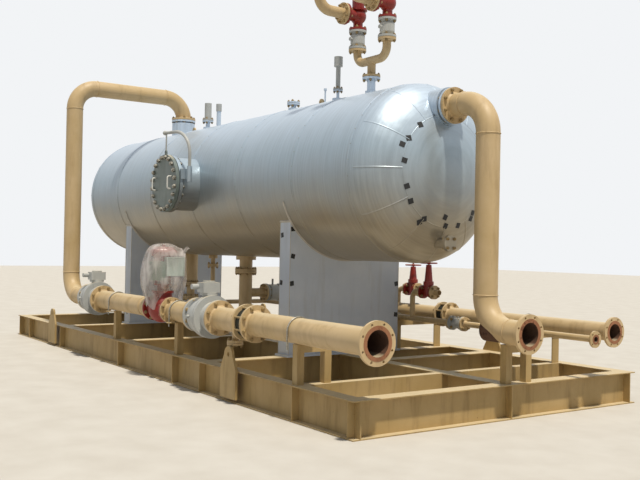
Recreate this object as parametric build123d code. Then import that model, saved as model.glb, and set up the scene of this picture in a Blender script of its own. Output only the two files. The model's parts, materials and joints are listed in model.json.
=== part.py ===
from build123d import *
import math
import os

# Every length is in millimetres. X runs along the skid towards the open pipe ends,
# Y runs across it and Z is up from the ground.

# Small gap between pieces that bear on one another
SEAT = 0.3

# Skid frame of rolled I-beams
SKID_LENGTH = 8760.0
SKID_WIDTH = 3430.0
BEAM_HEIGHT = 300.0
BEAM_FLANGE = 150.0
BEAM_WEB = 6.5
BEAM_FLANGE_T = 9.0
SKID_FRONT_X = SKID_LENGTH / 2
SIDE_BEAM_Y = SKID_WIDTH / 2 - BEAM_FLANGE / 2
FRONT_BEAM_SETBACK = 850.0
FRONT_BEAM_X = SKID_FRONT_X - FRONT_BEAM_SETBACK
CHANNEL_FLANGE = 90.0
CROSS_BEAM_X = (1850.0, -260.0, -2370.0)
RIGHT_POST_BEAM_X = 2510.0
STIFFENER_T = 10.0
END_STIFFENER_Y = (-SIDE_BEAM_Y, 0.0, SIDE_BEAM_Y)
SIDE_STIFFENER_X = (-3800.0, -2370.0, -260.0, 1230.0, 1850.0, FRONT_BEAM_X)
PADEYE_X = (-2650.0, 2480.0)
PADEYE_WIDTH = 290.0
PADEYE_BOTTOM_Z = 40.0
PADEYE_SHOULDER_Z = 310.0
PADEYE_TOP_Z = 520.0
PADEYE_TOP_R = 75.0
PADEYE_T = 25.0
PADEYE_HOLE_R = 21.0

# Vessel with its insulation and cladding
VESSEL_R = 875.0
VESSEL_WALL = 95.0
VESSEL_Z = 2195.0
SHELL_FRONT_X = 3147.0
SHELL_REAR_X = -3520.0
HEAD_DEPTH = 437.5

# Saddles, boxed in sheet
SADDLE_X = (1850.0, -2370.0)
SADDLE_LENGTH = 200.0
SADDLE_HALF_WIDTH = 735.0
SADDLE_TOP_Z = 1830.0
SADDLE_FOOT_T = 20.0
SADDLE_FOOT_MARGIN = 25.0

# Pipe and flange sizes of the class 150 series
PIPE_20 = dict(r=254.0, wall=9.5, flange_r=349.25, flange_t=42.9, hub_r=283.0, hub_l=70.0,
               face_r=292.0, pcd=635.0, hole_r=15.9, holes=20, elbow=762.0)
PIPE_8 = dict(r=109.55, wall=8.2, flange_r=171.5, flange_t=28.4, hub_r=123.0, hub_l=44.4,
              face_r=134.9, pcd=298.5, hole_r=11.1, holes=8, elbow=305.0)
PIPE_6 = dict(r=84.15, wall=7.1, flange_r=139.5, flange_t=25.4, hub_r=96.0, hub_l=39.6,
              face_r=107.9, pcd=241.3, hole_r=11.1, holes=8, elbow=229.0)
PIPE_4 = dict(r=57.15, wall=6.0, flange_r=114.5, flange_t=23.9, hub_r=67.5, hub_l=33.3,
              face_r=78.6, pcd=190.5, hole_r=9.5, holes=8, elbow=152.0)
PIPE_3 = dict(r=44.45, wall=5.5, flange_r=95.25, flange_t=23.9, hub_r=54.0, hub_l=30.2,
              face_r=63.5, pcd=152.4, hole_r=9.5, holes=4, elbow=114.0)
PIPE_2 = dict(r=30.15, wall=3.9, flange_r=76.2, flange_t=19.1, hub_r=39.0, hub_l=25.4,
              face_r=46.0, pcd=120.7, hole_r=9.5, holes=4, elbow=76.0)
PIPE_1 = dict(r=16.7, wall=3.4, flange_r=54.0, flange_t=14.3, hub_r=24.5, hub_l=17.5,
              face_r=25.4, pcd=79.4, hole_r=7.9, holes=4, elbow=38.0)
RAISED_FACE = 1.6
CLAD_CLEARANCE = 18.0

# Manway on the left side, with its davit
MANWAY_X = -190.0
MANWAY_CLAD_R = 322.0
MANWAY_FACE_Y = -1152.0
MANWAY_GAP = 5.0
MANWAY_ROOT_Y = -700.0
HANDLE_X = 215.0
HANDLE_HALF_HEIGHT = 75.0
HANDLE_REACH = 55.0
HANDLE_BEND = 25.0
HANDLE_R = 9.0
DAVIT_X = 235.0
DAVIT_Y = -1070.0
DAVIT_ROD_R = 19.0
DAVIT_ARM_TOP_Z = 2812.0
DAVIT_POST_FOOT_Z = 2215.0
DAVIT_BEND = 280.0
DAVIT_ARM_END = 40.0
SOCKET_R = 31.0
SOCKET_CLEARANCE = 1.0
SOCKET_BOTTOM_Z = 2200.0
SOCKET_TOP_Z = 2385.0
SOCKET_BRACKET_T = 16.0
SOCKET_BRACKET_HEIGHT = 120.0
BALL_R = 28.0
EYE_R = 24.0
EYE_T = 16.0
EYE_BOLT_R = 9.0
EYE_HOLE_R = 11.0
EYE_Z = 2575.0

# Nozzles on the vessel: place and height of the sealing face
NOZZLE_ROOT = 120.0
GAS_NOZZLE_X = -2170.0
GAS_NOZZLE_FACE_Z = 3290.0
GAS_CLAD_R = 165.0
RELIEF_X = 2325.0
RELIEF_FACE_Z = 3260.0
VENT_X = 820.0
VENT_FACE_Z = 3170.0
GAUGE_X = 1725.0
GAUGE_FACE_Z = 3210.0
PROBE_X = 1480.0
PROBE_R = 9.0
PROBE_TOP_Z = 3235.0
PROBE_HEAD_R = 17.0
PROBE_HEAD_L = 26.0
REAR_GAUGE_X = -1390.0
REAR_GAUGE_FACE_Z = 3205.0
STUB_X = -1070.0
STUB_TOP_Z = 3300.0
SMALL_CLAD_R = 62.0
SMALL_CLAD_TOP = 45.0
HEAD_NOZZLE_Z = 2806.0
HEAD_NOZZLE_FACE_X = 3590.0
HEAD_CLAD_R = 180.0
DRAIN_NOZZLE_Z = 1512.0
DRAIN_NOZZLE_FACE_X = 3560.0
DRAIN_CLAD_R = 50.0
LIFT_LUG_X = (1410.0, -1810.0)
LIFT_LUG_WIDTH = 78.0
LIFT_LUG_RISE = 82.0
LIFT_LUG_T = 20.0
LIFT_LUG_HOLE_R = 14.0

# Pipe routes
LEFT_LINE_Y = -1640.0
PIPE_BOTTOM_Z = 640.0
OPEN_FACE_X = 4568.0
GAS_TOP_Z = 3600.0
RISER_X = 4040.0
LINE_6_Y = 1138.0
LINE_2_Y = 869.0

# Valves in the left line, by their centres along X
BALL_8_X = (-1200.0, 1880.0)
BALL_8_LENGTH = 457.0
BALL_8_BARREL_R = 178.0
BALL_8_THROAT_R = 128.0
BALL_8_JOINT_R = 212.0
BALL_8_JOINT_T = 38.0
BALL_8_JOINT_X = 62.0
BALL_8_BARREL_X = -120.0
BALL_8_ADAPTER_R = 150.0
BALL_8_JOINT_GAP = 6.0
BALL_8_PLUG_R = 15.0
BALL_8_PLUG_REACH = 28.0
BALL_8_PLUG_X = (-75.0, 20.0)
GEAR_NECK_R = 62.0
GEAR_NECK_FLANGE_R = 88.0
GEAR_BOTTOM_Z = 985.0
GEAR_TOP_Z = 1100.0
GEAR_LENGTH = 150.0
GEAR_WIDTH = 190.0
GEAR_CAP_R = 62.0
GEAR_CAP_RISE = 16.0
GEAR_SHAFT_R = 27.0
GEAR_SHAFT_REACH = 70.0
CONTROL_X = 805.0
CONTROL_LENGTH = 451.0
REDUCER_LENGTH = 152.0
CONTROL_BODY_R = 150.0
BONNET_FLANGE_R = 118.0
BONNET_FLANGE_T = 26.0
BONNET_FLANGE_Z = 925.0
BONNET_R = 62.0
YOKE_BOTTOM_Z = 1010.0
YOKE_TOP_Z = 1275.0
YOKE_LEG_R = 13.0
YOKE_LEG_Y = 78.0
YOKE_PLATE_R = 96.0
YOKE_PLATE_T = 16.0
STEM_R = 11.0
CASING_R = 168.0
CASING_RIM_T = 14.0
CASING_DOME = 55.0
CASING_MID_Z = 1365.0
CASING_NIPPLE_R = 22.0
CASING_NIPPLE_RISE = 30.0
POSITIONER_X = 900.0
POSITIONER_Y = -1758.0
POSITIONER_LENGTH = 130.0
POSITIONER_WIDTH = 150.0
POSITIONER_BOTTOM_Z = 1065.0
POSITIONER_TOP_Z = 1270.0
POSITIONER_CORNER = 18.0
BAG_PROFILE = ((232.0, 735.0), (242.0, 900.0), (268.0, 1130.0), (262.0, 1290.0),
               (205.0, 1415.0), (110.0, 1478.0))
BAG_T = 3.0
BAG_TOP_Z = 1492.0
BAG_CLEARANCE = 6.0
CHECK_8_X = 2730.0
CHECK_8_LENGTH = 127.0
CHECK_8_R = 138.0
DRAIN_TEE_X = 2430.0
DRAIN_FACE_Z = 545.0
BLIND_2_T = 19.1

# Relief tree on top
RELIEF_TEE_Z = 3440.0
RELIEF_LEFT_X = 2072.0
RELIEF_LEFT_FACE_Z = 3600.0
RELIEF_RIGHT_X = 2575.0
RELIEF_RIGHT_FACE_Z = 3635.0
BALL_3_LENGTH = 203.0
BALL_3_R = 78.0
BALL_3_WAIST_R = 56.0
HANDLE_NECK_R = 20.0
HANDLE_NECK_REACH = 105.0
RELIEF_BODY_R = 88.0
RELIEF_INLET = 156.0
RELIEF_OUTLET = 190.0
RELIEF_OUTLET_R = 62.0
RELIEF_NECK_R = 52.0
RELIEF_BONNET_R = 66.0
RELIEF_BONNET_Z = 190.0
RELIEF_BONNET_TOP = 420.0
RELIEF_CAP_R = 34.0
RELIEF_CAP_TOP = 505.0
RELIEF_PLATE_R = 98.0
RELIEF_PLATE_T = 22.0
TAIL_REACH = 330.0
TAIL_RISE = 430.0

# Half length of a small ball valve's barrel, as a share of its radius
BARREL_SHARE = 0.55

# Liquid lines under the vessel
DROP_A_X = -240.0
DROP_A_FACE_Z = 1130.0
DROP_A_FOOT_Z = 500.0
DROP_A_TEE_Z = 850.0
BLIND_6_T = 25.4
DROP_B_X = -1150.0
DROP_B_FACE_Z = 1180.0
DROP_C_X = -1820.0
DROP_C_FACE_Z = 900.0
DROP_C_FOOT_Z = 700.0
DROP_C_SLEEVE_R = 95.0
DROP_A_SLEEVE_R = PIPE_6["r"] + SMALL_CLAD_TOP
BALL_4_Y = 410.0
BALL_4_LENGTH = 229.0
BALL_4_R = 105.0
BALL_4_WAIST_R = 76.0
OFFSET_START_X = 420.0
REDUCER_46_X = 800.0
REDUCER_46_LENGTH = 140.0
CHECK_6_X = 2330.0
CHECK_6_LENGTH = 98.0
CHECK_6_R = 110.0
BALL_2_X = 2795.0
BALL_2_LENGTH = 178.0
BALL_2_R = 56.0
BALL_2_WAIST_R = 42.0
LEVER_NECK_R = 13.0
LEVER_NECK_REACH = 72.0

# Gate valves on the small branches, with handwheels
GATE_1_X = 1742.0
GATE_2_X = 2315.0
GATE_Z = 980.0
GATE_LENGTH = 178.0
GATE_BODY_R = 48.0
GATE_BONNET_R = 58.0
GATE_BONNET_Z = 1078.0
GATE_BONNET_T = 20.0
GATE_YOKE_R = 30.0
GATE_STEM_R = 9.0
STEM_CLEARANCE = 0.1
GATE_BRANCH = 175.0
GATE_STUB = 90.0
WHEEL_Z = (1266.0, 1302.0)
WHEEL_R = 88.0
WHEEL_RIM_R = 8.0
WHEEL_HUB_R = 20.0
WHEEL_HUB_T = 26.0
WHEEL_SPOKE_R = 6.0
WHEEL_SPOKES = 4
WHEEL_GAP = 5.0

# Pipe supports of square tube, and of angle iron under the two small lines
POST_SIDE = 70.0
POST_WALL = 5.0
POST_CAP_T = 8.0
LEFT_POST_X = (-470.0, 1230.0)
FRAME_LEFT_X = FRONT_BEAM_X - 20.0
FRAME_LEFT_Y = (-1640.0, -1360.0)
FRAME_RIGHT_X = SKID_FRONT_X - BEAM_FLANGE / 2
FRAME_RIGHT_Y = (-5.0, 245.0)
ANGLE_LEG = 100.0
ANGLE_DEPTH = 75.0
ANGLE_T = 10.0
RAIL_LEG = 70.0
RAIL_T = 8.0
NEAR_POST_Y = 835.0
ANGLE_FRAMES = ((1810.0, 1450.0), (FRONT_BEAM_X, 1530.0))
U_BOLT_ROD_R = 7.0
U_BOLT_TAIL = 45.0
U_BOLT_PLAY = 1.0
POST_CAP_MARGIN = 28.0

# Instruments and plates on the top nozzles
INSTRUMENT_R = 26.0
INSTRUMENT_TOP_Z = 3580.0
INSTRUMENT_HEAD_R = 48.0
INSTRUMENT_HEAD_L = 110.0
REAR_INSTRUMENT_TOP_Z = 3450.0
FITTING_R = 38.0
FITTING_TOP_Z = 3400.0

ALONG = Vector(1, 0, 0)
ACROSS = Vector(0, 1, 0)
UP = Vector(0, 0, 1)
HALF = SKID_WIDTH / 2 - BEAM_FLANGE / 2
END_BEAM_X = SKID_LENGTH / 2 - BEAM_FLANGE / 2
LINE_8_Z = PIPE_BOTTOM_Z + PIPE_8["r"]
LINE_6_Z = PIPE_BOTTOM_Z + PIPE_6["r"]
LINE_2_Z = PIPE_BOTTOM_Z + PIPE_2["r"]
VESSEL_TOP_Z = VESSEL_Z + VESSEL_R


def rod(start, direction, length, radius):
    """A round bar from a point along a direction."""
    bar = Cylinder(radius, length, align=(Align.CENTER, Align.CENTER, Align.MIN))
    return Plane(origin=start, z_dir=direction) * bar


def tube(start, direction, length, outer, inner):
    """A round tube from a point along a direction."""
    return rod(start, direction, length, outer) - rod(start, direction, length, inner)


def block(low, high):
    """A box between two corners."""
    low = Vector(*low)
    high = Vector(*high)
    size = high - low
    return Pos((low + high) / 2) * Box(size.X, size.Y, size.Z)


def cone(start, direction, length, first, last):
    """A taper from one radius to another."""
    shape = Cone(first, last, length, align=(Align.CENTER, Align.CENTER, Align.MIN))
    return Plane(origin=start, z_dir=direction) * shape


def route(points, radius, bend):
    """A round bar swept along straight legs joined by bends."""
    start = Vector(*points[0])
    toward = Vector(*points[1]) - start
    path = FilletPolyline(*points, radius=bend) if len(points) > 2 else Polyline(*points)
    return sweep(Plane(origin=start, z_dir=toward) * Circle(radius), path=path)


def bored(outer, inner):
    """Outer forms fused, less the bores through them."""
    shape = outer[0]
    for piece in outer[1:]:
        shape = shape + piece
    for hole in inner:
        shape = shape - hole
    return shape


def pipe(points, size):
    """The outside and the bore of a pipe along a route."""
    bore = size["r"] - size["wall"]
    return route(points, size["r"], size["elbow"]), route(points, bore, size["elbow"])


def flange(face, normal, size, hub=True):
    """A raised-face flange whose sealing face looks along the normal."""
    face = Vector(*face)
    back = normal * -1
    plate_t = size["flange_t"] - RAISED_FACE
    shape = rod(face + back * RAISED_FACE, back, plate_t, size["flange_r"])
    shape = shape + rod(face, back, RAISED_FACE, size["face_r"])
    if hub:
        shape = shape + cone(face + back * size["flange_t"], back,
                             size["hub_l"] - size["flange_t"], size["hub_r"], size["r"] + SEAT)
    return shape


def bolt_holes(face, normal, size):
    """The bolt holes of an open flange."""
    face = Vector(*face)
    plane = Plane(origin=face + normal, z_dir=normal * -1)
    depth = size["flange_t"] * 2
    drill = Cylinder(size["hole_r"], depth, align=(Align.CENTER, Align.CENTER, Align.MIN))
    half_step = 180.0 / size["holes"]
    ring = PolarLocations(size["pcd"] / 2, size["holes"], start_angle=half_step)
    return [plane * place * drill for place in ring]


def spool(points, size, faces, open_ends=()):
    """A flanged length of pipe: faces lists each sealing face with its normal."""
    outer, bore = pipe(points, size)
    solids = [outer] + [flange(face, normal, size) for face, normal in faces]
    holes = [bore]
    for face, normal in open_ends:
        holes = holes + bolt_holes(face, normal, size)
    return bored(solids, holes)


def blind(face, normal, size, thickness):
    """A blind flange whose sealing face looks along the normal."""
    face = Vector(*face)
    back = normal * -1
    plate = rod(face + back * RAISED_FACE, back, thickness, size["flange_r"])
    return plate + rod(face, back, RAISED_FACE, size["face_r"])


def i_beam(length):
    """An I-beam of a given length along X, standing on the XY plane."""
    web = Pos(0, 0, BEAM_HEIGHT / 2) * Box(length, BEAM_WEB, BEAM_HEIGHT)
    low = Pos(0, 0, BEAM_FLANGE_T / 2) * Box(length, BEAM_FLANGE, BEAM_FLANGE_T)
    high = Pos(0, 0, BEAM_HEIGHT - BEAM_FLANGE_T / 2) * Box(length, BEAM_FLANGE, BEAM_FLANGE_T)
    return web + low + high


def coped_beam(length):
    """An I-beam whose web runs on at both ends to the webs of its neighbours."""
    reach = length + BEAM_FLANGE - BEAM_WEB
    clear = BEAM_HEIGHT - 2 * BEAM_FLANGE_T - 2 * SEAT
    return i_beam(length) + Pos(0, 0, BEAM_HEIGHT / 2) * Box(reach, BEAM_WEB, clear)


def coped_channel(length):
    """A channel, its back to -Y, whose web runs on to the webs of its neighbours."""
    reach = length + BEAM_FLANGE - BEAM_WEB
    clear = BEAM_HEIGHT - 2 * BEAM_FLANGE_T - 2 * SEAT
    mid = BEAM_HEIGHT / 2
    back = (BEAM_WEB - CHANNEL_FLANGE) / 2
    top = BEAM_HEIGHT - BEAM_FLANGE_T / 2
    web = Pos(0, back, mid) * Box(length, BEAM_WEB, BEAM_HEIGHT)
    tongue = Pos(0, back, mid) * Box(reach, BEAM_WEB, clear)
    low = Pos(0, 0, BEAM_FLANGE_T / 2) * Box(length, CHANNEL_FLANGE, BEAM_FLANGE_T)
    high = Pos(0, 0, top) * Box(length, CHANNEL_FLANGE, BEAM_FLANGE_T)
    return web + tongue + low + high


def square_post(x, y, bottom, top):
    """An upright of square tube."""
    height = top - bottom
    inside = POST_SIDE - 2 * POST_WALL
    outer = Pos(x, y, bottom + height / 2) * Box(POST_SIDE, POST_SIDE, height)
    return outer - Pos(x, y, bottom + height / 2) * Box(inside, inside, height)


def u_bolt(x, y, size):
    """A bent rod over a pipe, its legs passing down beside it."""
    reach = size["r"] + U_BOLT_ROD_R + SEAT
    foot = PIPE_BOTTOM_Z - U_BOLT_TAIL
    mid = PIPE_BOTTOM_Z + size["r"]
    arch = (Line((0, -reach, foot), (0, -reach, mid))
            + ThreePointArc((0, -reach, mid), (0, 0, mid + reach), (0, reach, mid))
            + Line((0, reach, mid), (0, reach, foot)))
    section = Plane(origin=(0, -reach, foot), z_dir=(0, 0, 1)) * Circle(U_BOLT_ROD_R)
    return Pos(x, y, 0) * sweep(section, path=arch)


def u_bolt_cut(x, y, size):
    """Clear holes for the legs of a U-bolt."""
    reach = size["r"] + U_BOLT_ROD_R + SEAT
    radius = U_BOLT_ROD_R + U_BOLT_PLAY
    depth = 2 * U_BOLT_TAIL
    start = PIPE_BOTTOM_Z - depth
    return [rod((x, y + s * reach, start), UP, depth * 2, radius) for s in (-1, 1)]


def ball_valve(centre, direction, length, size, body_r, waist_r):
    """A flanged two-piece ball valve body about its centre."""
    centre = Vector(*centre)
    half = length / 2
    flat = body_r * BARREL_SHARE
    waist = length - 2 * RAISED_FACE
    shape = rod(centre - direction * (half - RAISED_FACE), direction, waist, waist_r)
    shape = shape + rod(centre - direction * half, direction, length, size["face_r"])
    for side in (-1, 1):
        plate_t = size["flange_t"] - RAISED_FACE
        start = centre + direction * (side * (half - RAISED_FACE))
        shape = shape + rod(start, direction * -side, plate_t, size["flange_r"])
        taper = half - size["flange_t"] - flat
        shape = shape + cone(centre + direction * (side * flat), direction * side, taper,
                             body_r, waist_r)
    return shape + rod(centre - direction * flat, direction, 2 * flat, body_r)


def vessel_envelope():
    """The outside of the vessel, used to trim what stands on it."""
    radius = VESSEL_R + SEAT
    barrel = rod((SHELL_REAR_X, 0, VESSEL_Z), ALONG, SHELL_FRONT_X - SHELL_REAR_X, radius)
    for x, side in ((SHELL_FRONT_X, 1), (SHELL_REAR_X, -1)):
        barrel = barrel + head_form(radius, HEAD_DEPTH + SEAT, x, side)
    return barrel


def head_form(radius, depth, x, side):
    """A solid semi-ellipsoid on the end of the barrel."""
    curve = EllipticalCenterArc((0, 0), depth, radius, start_angle=0, arc_size=90)
    profile = make_face(curve + Line((0, radius), (0, 0)) + Line((0, 0), (depth, 0)))
    dome = revolve(profile, axis=Axis.X)
    turn = 0 if side > 0 else 180
    return Pos(x, 0, VESSEL_Z) * Rot(0, 0, turn) * dome


def head(x, side):
    """A hollow semi-ellipsoidal head."""
    outer = head_form(VESSEL_R, HEAD_DEPTH, x + side * SEAT, side)
    inner = head_form(VESSEL_R - VESSEL_WALL, HEAD_DEPTH - VESSEL_WALL, x + side * SEAT, side)
    return outer - inner


parts = {}

# Skid
side_length = 2 * END_BEAM_X - BEAM_FLANGE - 2 * SEAT
side_beam = coped_beam(side_length)
parts["skid_side_beams"] = Compound([Pos(0, s * HALF, 0) * side_beam for s in (-1, 1)])
end_beam = Rot(0, 0, 90) * i_beam(SKID_WIDTH)
parts["skid_end_beams"] = Compound([Pos(s * END_BEAM_X, 0, 0) * end_beam for s in (-1, 1)])
parts["skid_stringer"] = side_beam
cross_length = HALF - BEAM_FLANGE - 2 * SEAT
cross_beam = Rot(0, 0, 90) * coped_beam(cross_length)
cross_places = [(x, s * HALF / 2) for x in CROSS_BEAM_X for s in (-1, 1)]
cross_places = cross_places + [(RIGHT_POST_BEAM_X, HALF / 2)]
cross_beams = [Pos(x, y, 0) * cross_beam for x, y in cross_places]
front_beam = Rot(0, 0, 90) * coped_channel(cross_length)
cross_beams = cross_beams + [Pos(FRONT_BEAM_X, s * HALF / 2, 0) * front_beam for s in (-1, 1)]
parts["skid_cross_beams"] = Compound(cross_beams)

stiff_height = BEAM_HEIGHT - 2 * BEAM_FLANGE_T - 2 * SEAT
stiff_width = BEAM_FLANGE / 2 - BEAM_WEB / 2 - SEAT
stiff_offset = BEAM_WEB / 2 + SEAT + stiff_width / 2
stiffeners = []
for y in END_STIFFENER_Y:
    for s in (-1, 1):
        place = Pos(s * (END_BEAM_X + stiff_offset), y, BEAM_HEIGHT / 2)
        stiffeners.append(place * Box(stiff_width, STIFFENER_T, stiff_height))
for x in SIDE_STIFFENER_X:
    for s in (-1, 1):
        place = Pos(x, s * (HALF + stiff_offset), BEAM_HEIGHT / 2)
        stiffeners.append(place * Box(STIFFENER_T, stiff_width, stiff_height))
parts["web_stiffeners"] = Compound(stiffeners)

padeye_half = PADEYE_WIDTH / 2
padeye_eye_z = PADEYE_TOP_Z - PADEYE_TOP_R
padeye_outline = Polyline((-padeye_half, PADEYE_BOTTOM_Z), (padeye_half, PADEYE_BOTTOM_Z),
                          (padeye_half, PADEYE_SHOULDER_Z), (PADEYE_TOP_R, padeye_eye_z),
                          (-PADEYE_TOP_R, padeye_eye_z), (-padeye_half, PADEYE_SHOULDER_Z),
                          (-padeye_half, PADEYE_BOTTOM_Z))
padeye_face = make_face(padeye_outline) + Pos(0, padeye_eye_z) * Circle(PADEYE_TOP_R)
padeye_face = padeye_face - Pos(0, padeye_eye_z) * Circle(PADEYE_HOLE_R)
padeye = extrude(Plane.XZ * padeye_face, PADEYE_T / 2, both=True)
padeye_y = SKID_WIDTH / 2 + SEAT + PADEYE_T / 2
padeyes = [Pos(x, s * padeye_y, 0) * padeye for x in PADEYE_X for s in (-1, 1)]
parts["lifting_padeyes"] = Compound(padeyes)

# Vessel
envelope = vessel_envelope()
shell = tube((SHELL_REAR_X, 0, VESSEL_Z), ALONG, SHELL_FRONT_X - SHELL_REAR_X,
             VESSEL_R, VESSEL_R - VESSEL_WALL)
manway_bore = PIPE_20["r"] - PIPE_20["wall"]
parts["vessel_shell"] = shell - rod((MANWAY_X, 0, VESSEL_Z), ACROSS * -1, VESSEL_R * 2, manway_bore)
parts["head_front"] = head(SHELL_FRONT_X, 1)
parts["head_rear"] = head(SHELL_REAR_X, -1)

saddles = []
for x in SADDLE_X:
    foot_low = BEAM_HEIGHT + SEAT
    foot_top = foot_low + SADDLE_FOOT_T
    half_x = SADDLE_LENGTH / 2
    foot_x = half_x + SADDLE_FOOT_MARGIN
    foot_y = SADDLE_HALF_WIDTH + SADDLE_FOOT_MARGIN
    foot = block((x - foot_x, -foot_y, foot_low), (x + foot_x, foot_y, foot_top))
    box = block((x - half_x, -SADDLE_HALF_WIDTH, foot_low),
                (x + half_x, SADDLE_HALF_WIDTH, SADDLE_TOP_Z))
    saddles.append((foot + box) - envelope)
parts["saddles"] = Compound(saddles)

# Manway
neck_start = (MANWAY_X, MANWAY_ROOT_Y, VESSEL_Z)
out = ACROSS * -1
neck_length = MANWAY_ROOT_Y - MANWAY_FACE_Y
neck = rod(neck_start, out, neck_length, PIPE_20["r"])
neck = neck + flange((MANWAY_X, MANWAY_FACE_Y, VESSEL_Z), out, PIPE_20, hub=False)
clad_length = neck_length - PIPE_20["flange_t"] - CLAD_CLEARANCE
neck = neck + rod(neck_start, out, clad_length, MANWAY_CLAD_R)
neck = neck - rod(neck_start, out, neck_length, PIPE_20["r"] - PIPE_20["wall"])
neck = neck - envelope
socket_bore = DAVIT_ROD_R + SOCKET_CLEARANCE
socket = rod((DAVIT_X, DAVIT_Y, SOCKET_BOTTOM_Z), UP, SOCKET_TOP_Z - SOCKET_BOTTOM_Z, SOCKET_R)
bracket_mid_z = (SOCKET_BOTTOM_Z + SOCKET_TOP_Z) / 2
bracket_low = bracket_mid_z - SOCKET_BRACKET_HEIGHT / 2
bracket_high = bracket_mid_z + SOCKET_BRACKET_HEIGHT / 2
bracket_back = DAVIT_Y - SOCKET_R + SOCKET_BRACKET_T
rim_x = MANWAY_X + PIPE_20["flange_r"]
bracket = block((rim_x - SOCKET_BRACKET_T, DAVIT_Y - SOCKET_R, bracket_low),
                (DAVIT_X, bracket_back, bracket_high))
wing = block((rim_x - SOCKET_BRACKET_T, MANWAY_FACE_Y + 2 * RAISED_FACE, bracket_low),
             (rim_x + SOCKET_BRACKET_T, bracket_back, bracket_high))
neck = neck + (bracket + wing + socket)
bore_start = (DAVIT_X, DAVIT_Y, DAVIT_POST_FOOT_Z - SOCKET_CLEARANCE)
neck = neck - rod(bore_start, UP, SOCKET_TOP_Z - SOCKET_BOTTOM_Z, socket_bore)
parts["manway_neck"] = neck

cover_face_y = MANWAY_FACE_Y - MANWAY_GAP
cover_outer_y = cover_face_y - PIPE_20["flange_t"]
cover_plate_t = PIPE_20["flange_t"] - RAISED_FACE
cover = blind((MANWAY_X, cover_face_y, VESSEL_Z), ACROSS, PIPE_20, cover_plate_t)
hand_root_y = cover_outer_y + HANDLE_R
hand_y = cover_outer_y - HANDLE_REACH
hand_low_z = VESSEL_Z - HANDLE_HALF_HEIGHT
hand_high_z = VESSEL_Z + HANDLE_HALF_HEIGHT
for s in (-1, 1):
    x = MANWAY_X + s * HANDLE_X
    hand = route([(x, hand_root_y, hand_low_z), (x, hand_y, hand_low_z),
                  (x, hand_y, hand_high_z), (x, hand_root_y, hand_high_z)],
                 HANDLE_R, HANDLE_BEND)
    cover = cover + hand
cover_mid_y = (cover_face_y + cover_outer_y) / 2
cover_top_z = VESSEL_Z + PIPE_20["flange_r"]
lug = block((MANWAY_X - EYE_R, cover_mid_y - EYE_T / 2, cover_top_z - EYE_R),
            (MANWAY_X + EYE_R, cover_mid_y + EYE_T / 2, EYE_Z))
lug = lug + rod((MANWAY_X, cover_mid_y - EYE_T / 2, EYE_Z), ACROSS, EYE_T, EYE_R)
lug = lug - rod((MANWAY_X, cover_mid_y - EYE_T, EYE_Z), ACROSS, 2 * EYE_T, EYE_HOLE_R)
parts["manway_cover"] = cover + lug

arm_x = MANWAY_X - DAVIT_ARM_END
arm = route([(DAVIT_X, DAVIT_Y, DAVIT_POST_FOOT_Z), (DAVIT_X, DAVIT_Y, DAVIT_ARM_TOP_Z),
             (arm_x, cover_mid_y, DAVIT_ARM_TOP_Z)], DAVIT_ROD_R, DAVIT_BEND)
arm = arm + Pos(arm_x, cover_mid_y, DAVIT_ARM_TOP_Z) * Sphere(BALL_R)
fork_foot_z = EYE_Z + EYE_R + SEAT
arm = arm + rod((MANWAY_X, cover_mid_y, fork_foot_z), UP, DAVIT_ARM_TOP_Z - fork_foot_z, EYE_BOLT_R)
parts["manway_davit"] = arm


def vessel_nozzle(x, face_z, size, clad_r, clad_top, up=True):
    """A flanged nozzle standing on top of the barrel or hanging under it."""
    normal = UP if up else UP * -1
    root_z = VESSEL_TOP_Z - NOZZLE_ROOT if up else VESSEL_Z - VESSEL_R + NOZZLE_ROOT
    length = abs(face_z - root_z)
    outer = [rod((x, 0, root_z), normal, length, size["r"]), flange((x, 0, face_z), normal, size)]
    outer.append(rod((x, 0, root_z), normal, clad_top + NOZZLE_ROOT, clad_r))
    return bored(outer, [rod((x, 0, root_z), normal, length, size["r"] - size["wall"])]) - envelope


# Nozzles on top
clad_top = GAS_NOZZLE_FACE_Z - VESSEL_TOP_Z - PIPE_8["flange_t"] - CLAD_CLEARANCE
gas_nozzle = vessel_nozzle(GAS_NOZZLE_X, GAS_NOZZLE_FACE_Z, PIPE_8, GAS_CLAD_R, clad_top)
parts["top_nozzle_rear"] = gas_nozzle
relief_nozzle = vessel_nozzle(RELIEF_X, RELIEF_FACE_Z, PIPE_3, SMALL_CLAD_R, SMALL_CLAD_TOP)
parts["relief_nozzle"] = relief_nozzle
small = [vessel_nozzle(VENT_X, VENT_FACE_Z, PIPE_2, SMALL_CLAD_R, SMALL_CLAD_TOP)]
small.append(vessel_nozzle(GAUGE_X, GAUGE_FACE_Z, PIPE_1, SMALL_CLAD_R, SMALL_CLAD_TOP))
small.append(vessel_nozzle(REAR_GAUGE_X, REAR_GAUGE_FACE_Z, PIPE_2, SMALL_CLAD_R, SMALL_CLAD_TOP))
root_z = VESSEL_TOP_Z - NOZZLE_ROOT
stub = tube((STUB_X, 0, root_z), UP, STUB_TOP_Z - root_z, PIPE_2["r"], PIPE_2["r"] - PIPE_2["wall"])
small.append(stub - envelope)
probe = rod((PROBE_X, 0, root_z), UP, PROBE_TOP_Z - root_z, PROBE_R)
probe = probe + rod((PROBE_X, 0, PROBE_TOP_Z), UP, PROBE_HEAD_L, PROBE_HEAD_R)
small.append(probe - envelope)
small.append(blind((VENT_X, 0, VENT_FACE_Z + SEAT), UP * -1, PIPE_2, BLIND_2_T))
parts["small_top_nozzles"] = Compound(small)

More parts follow.
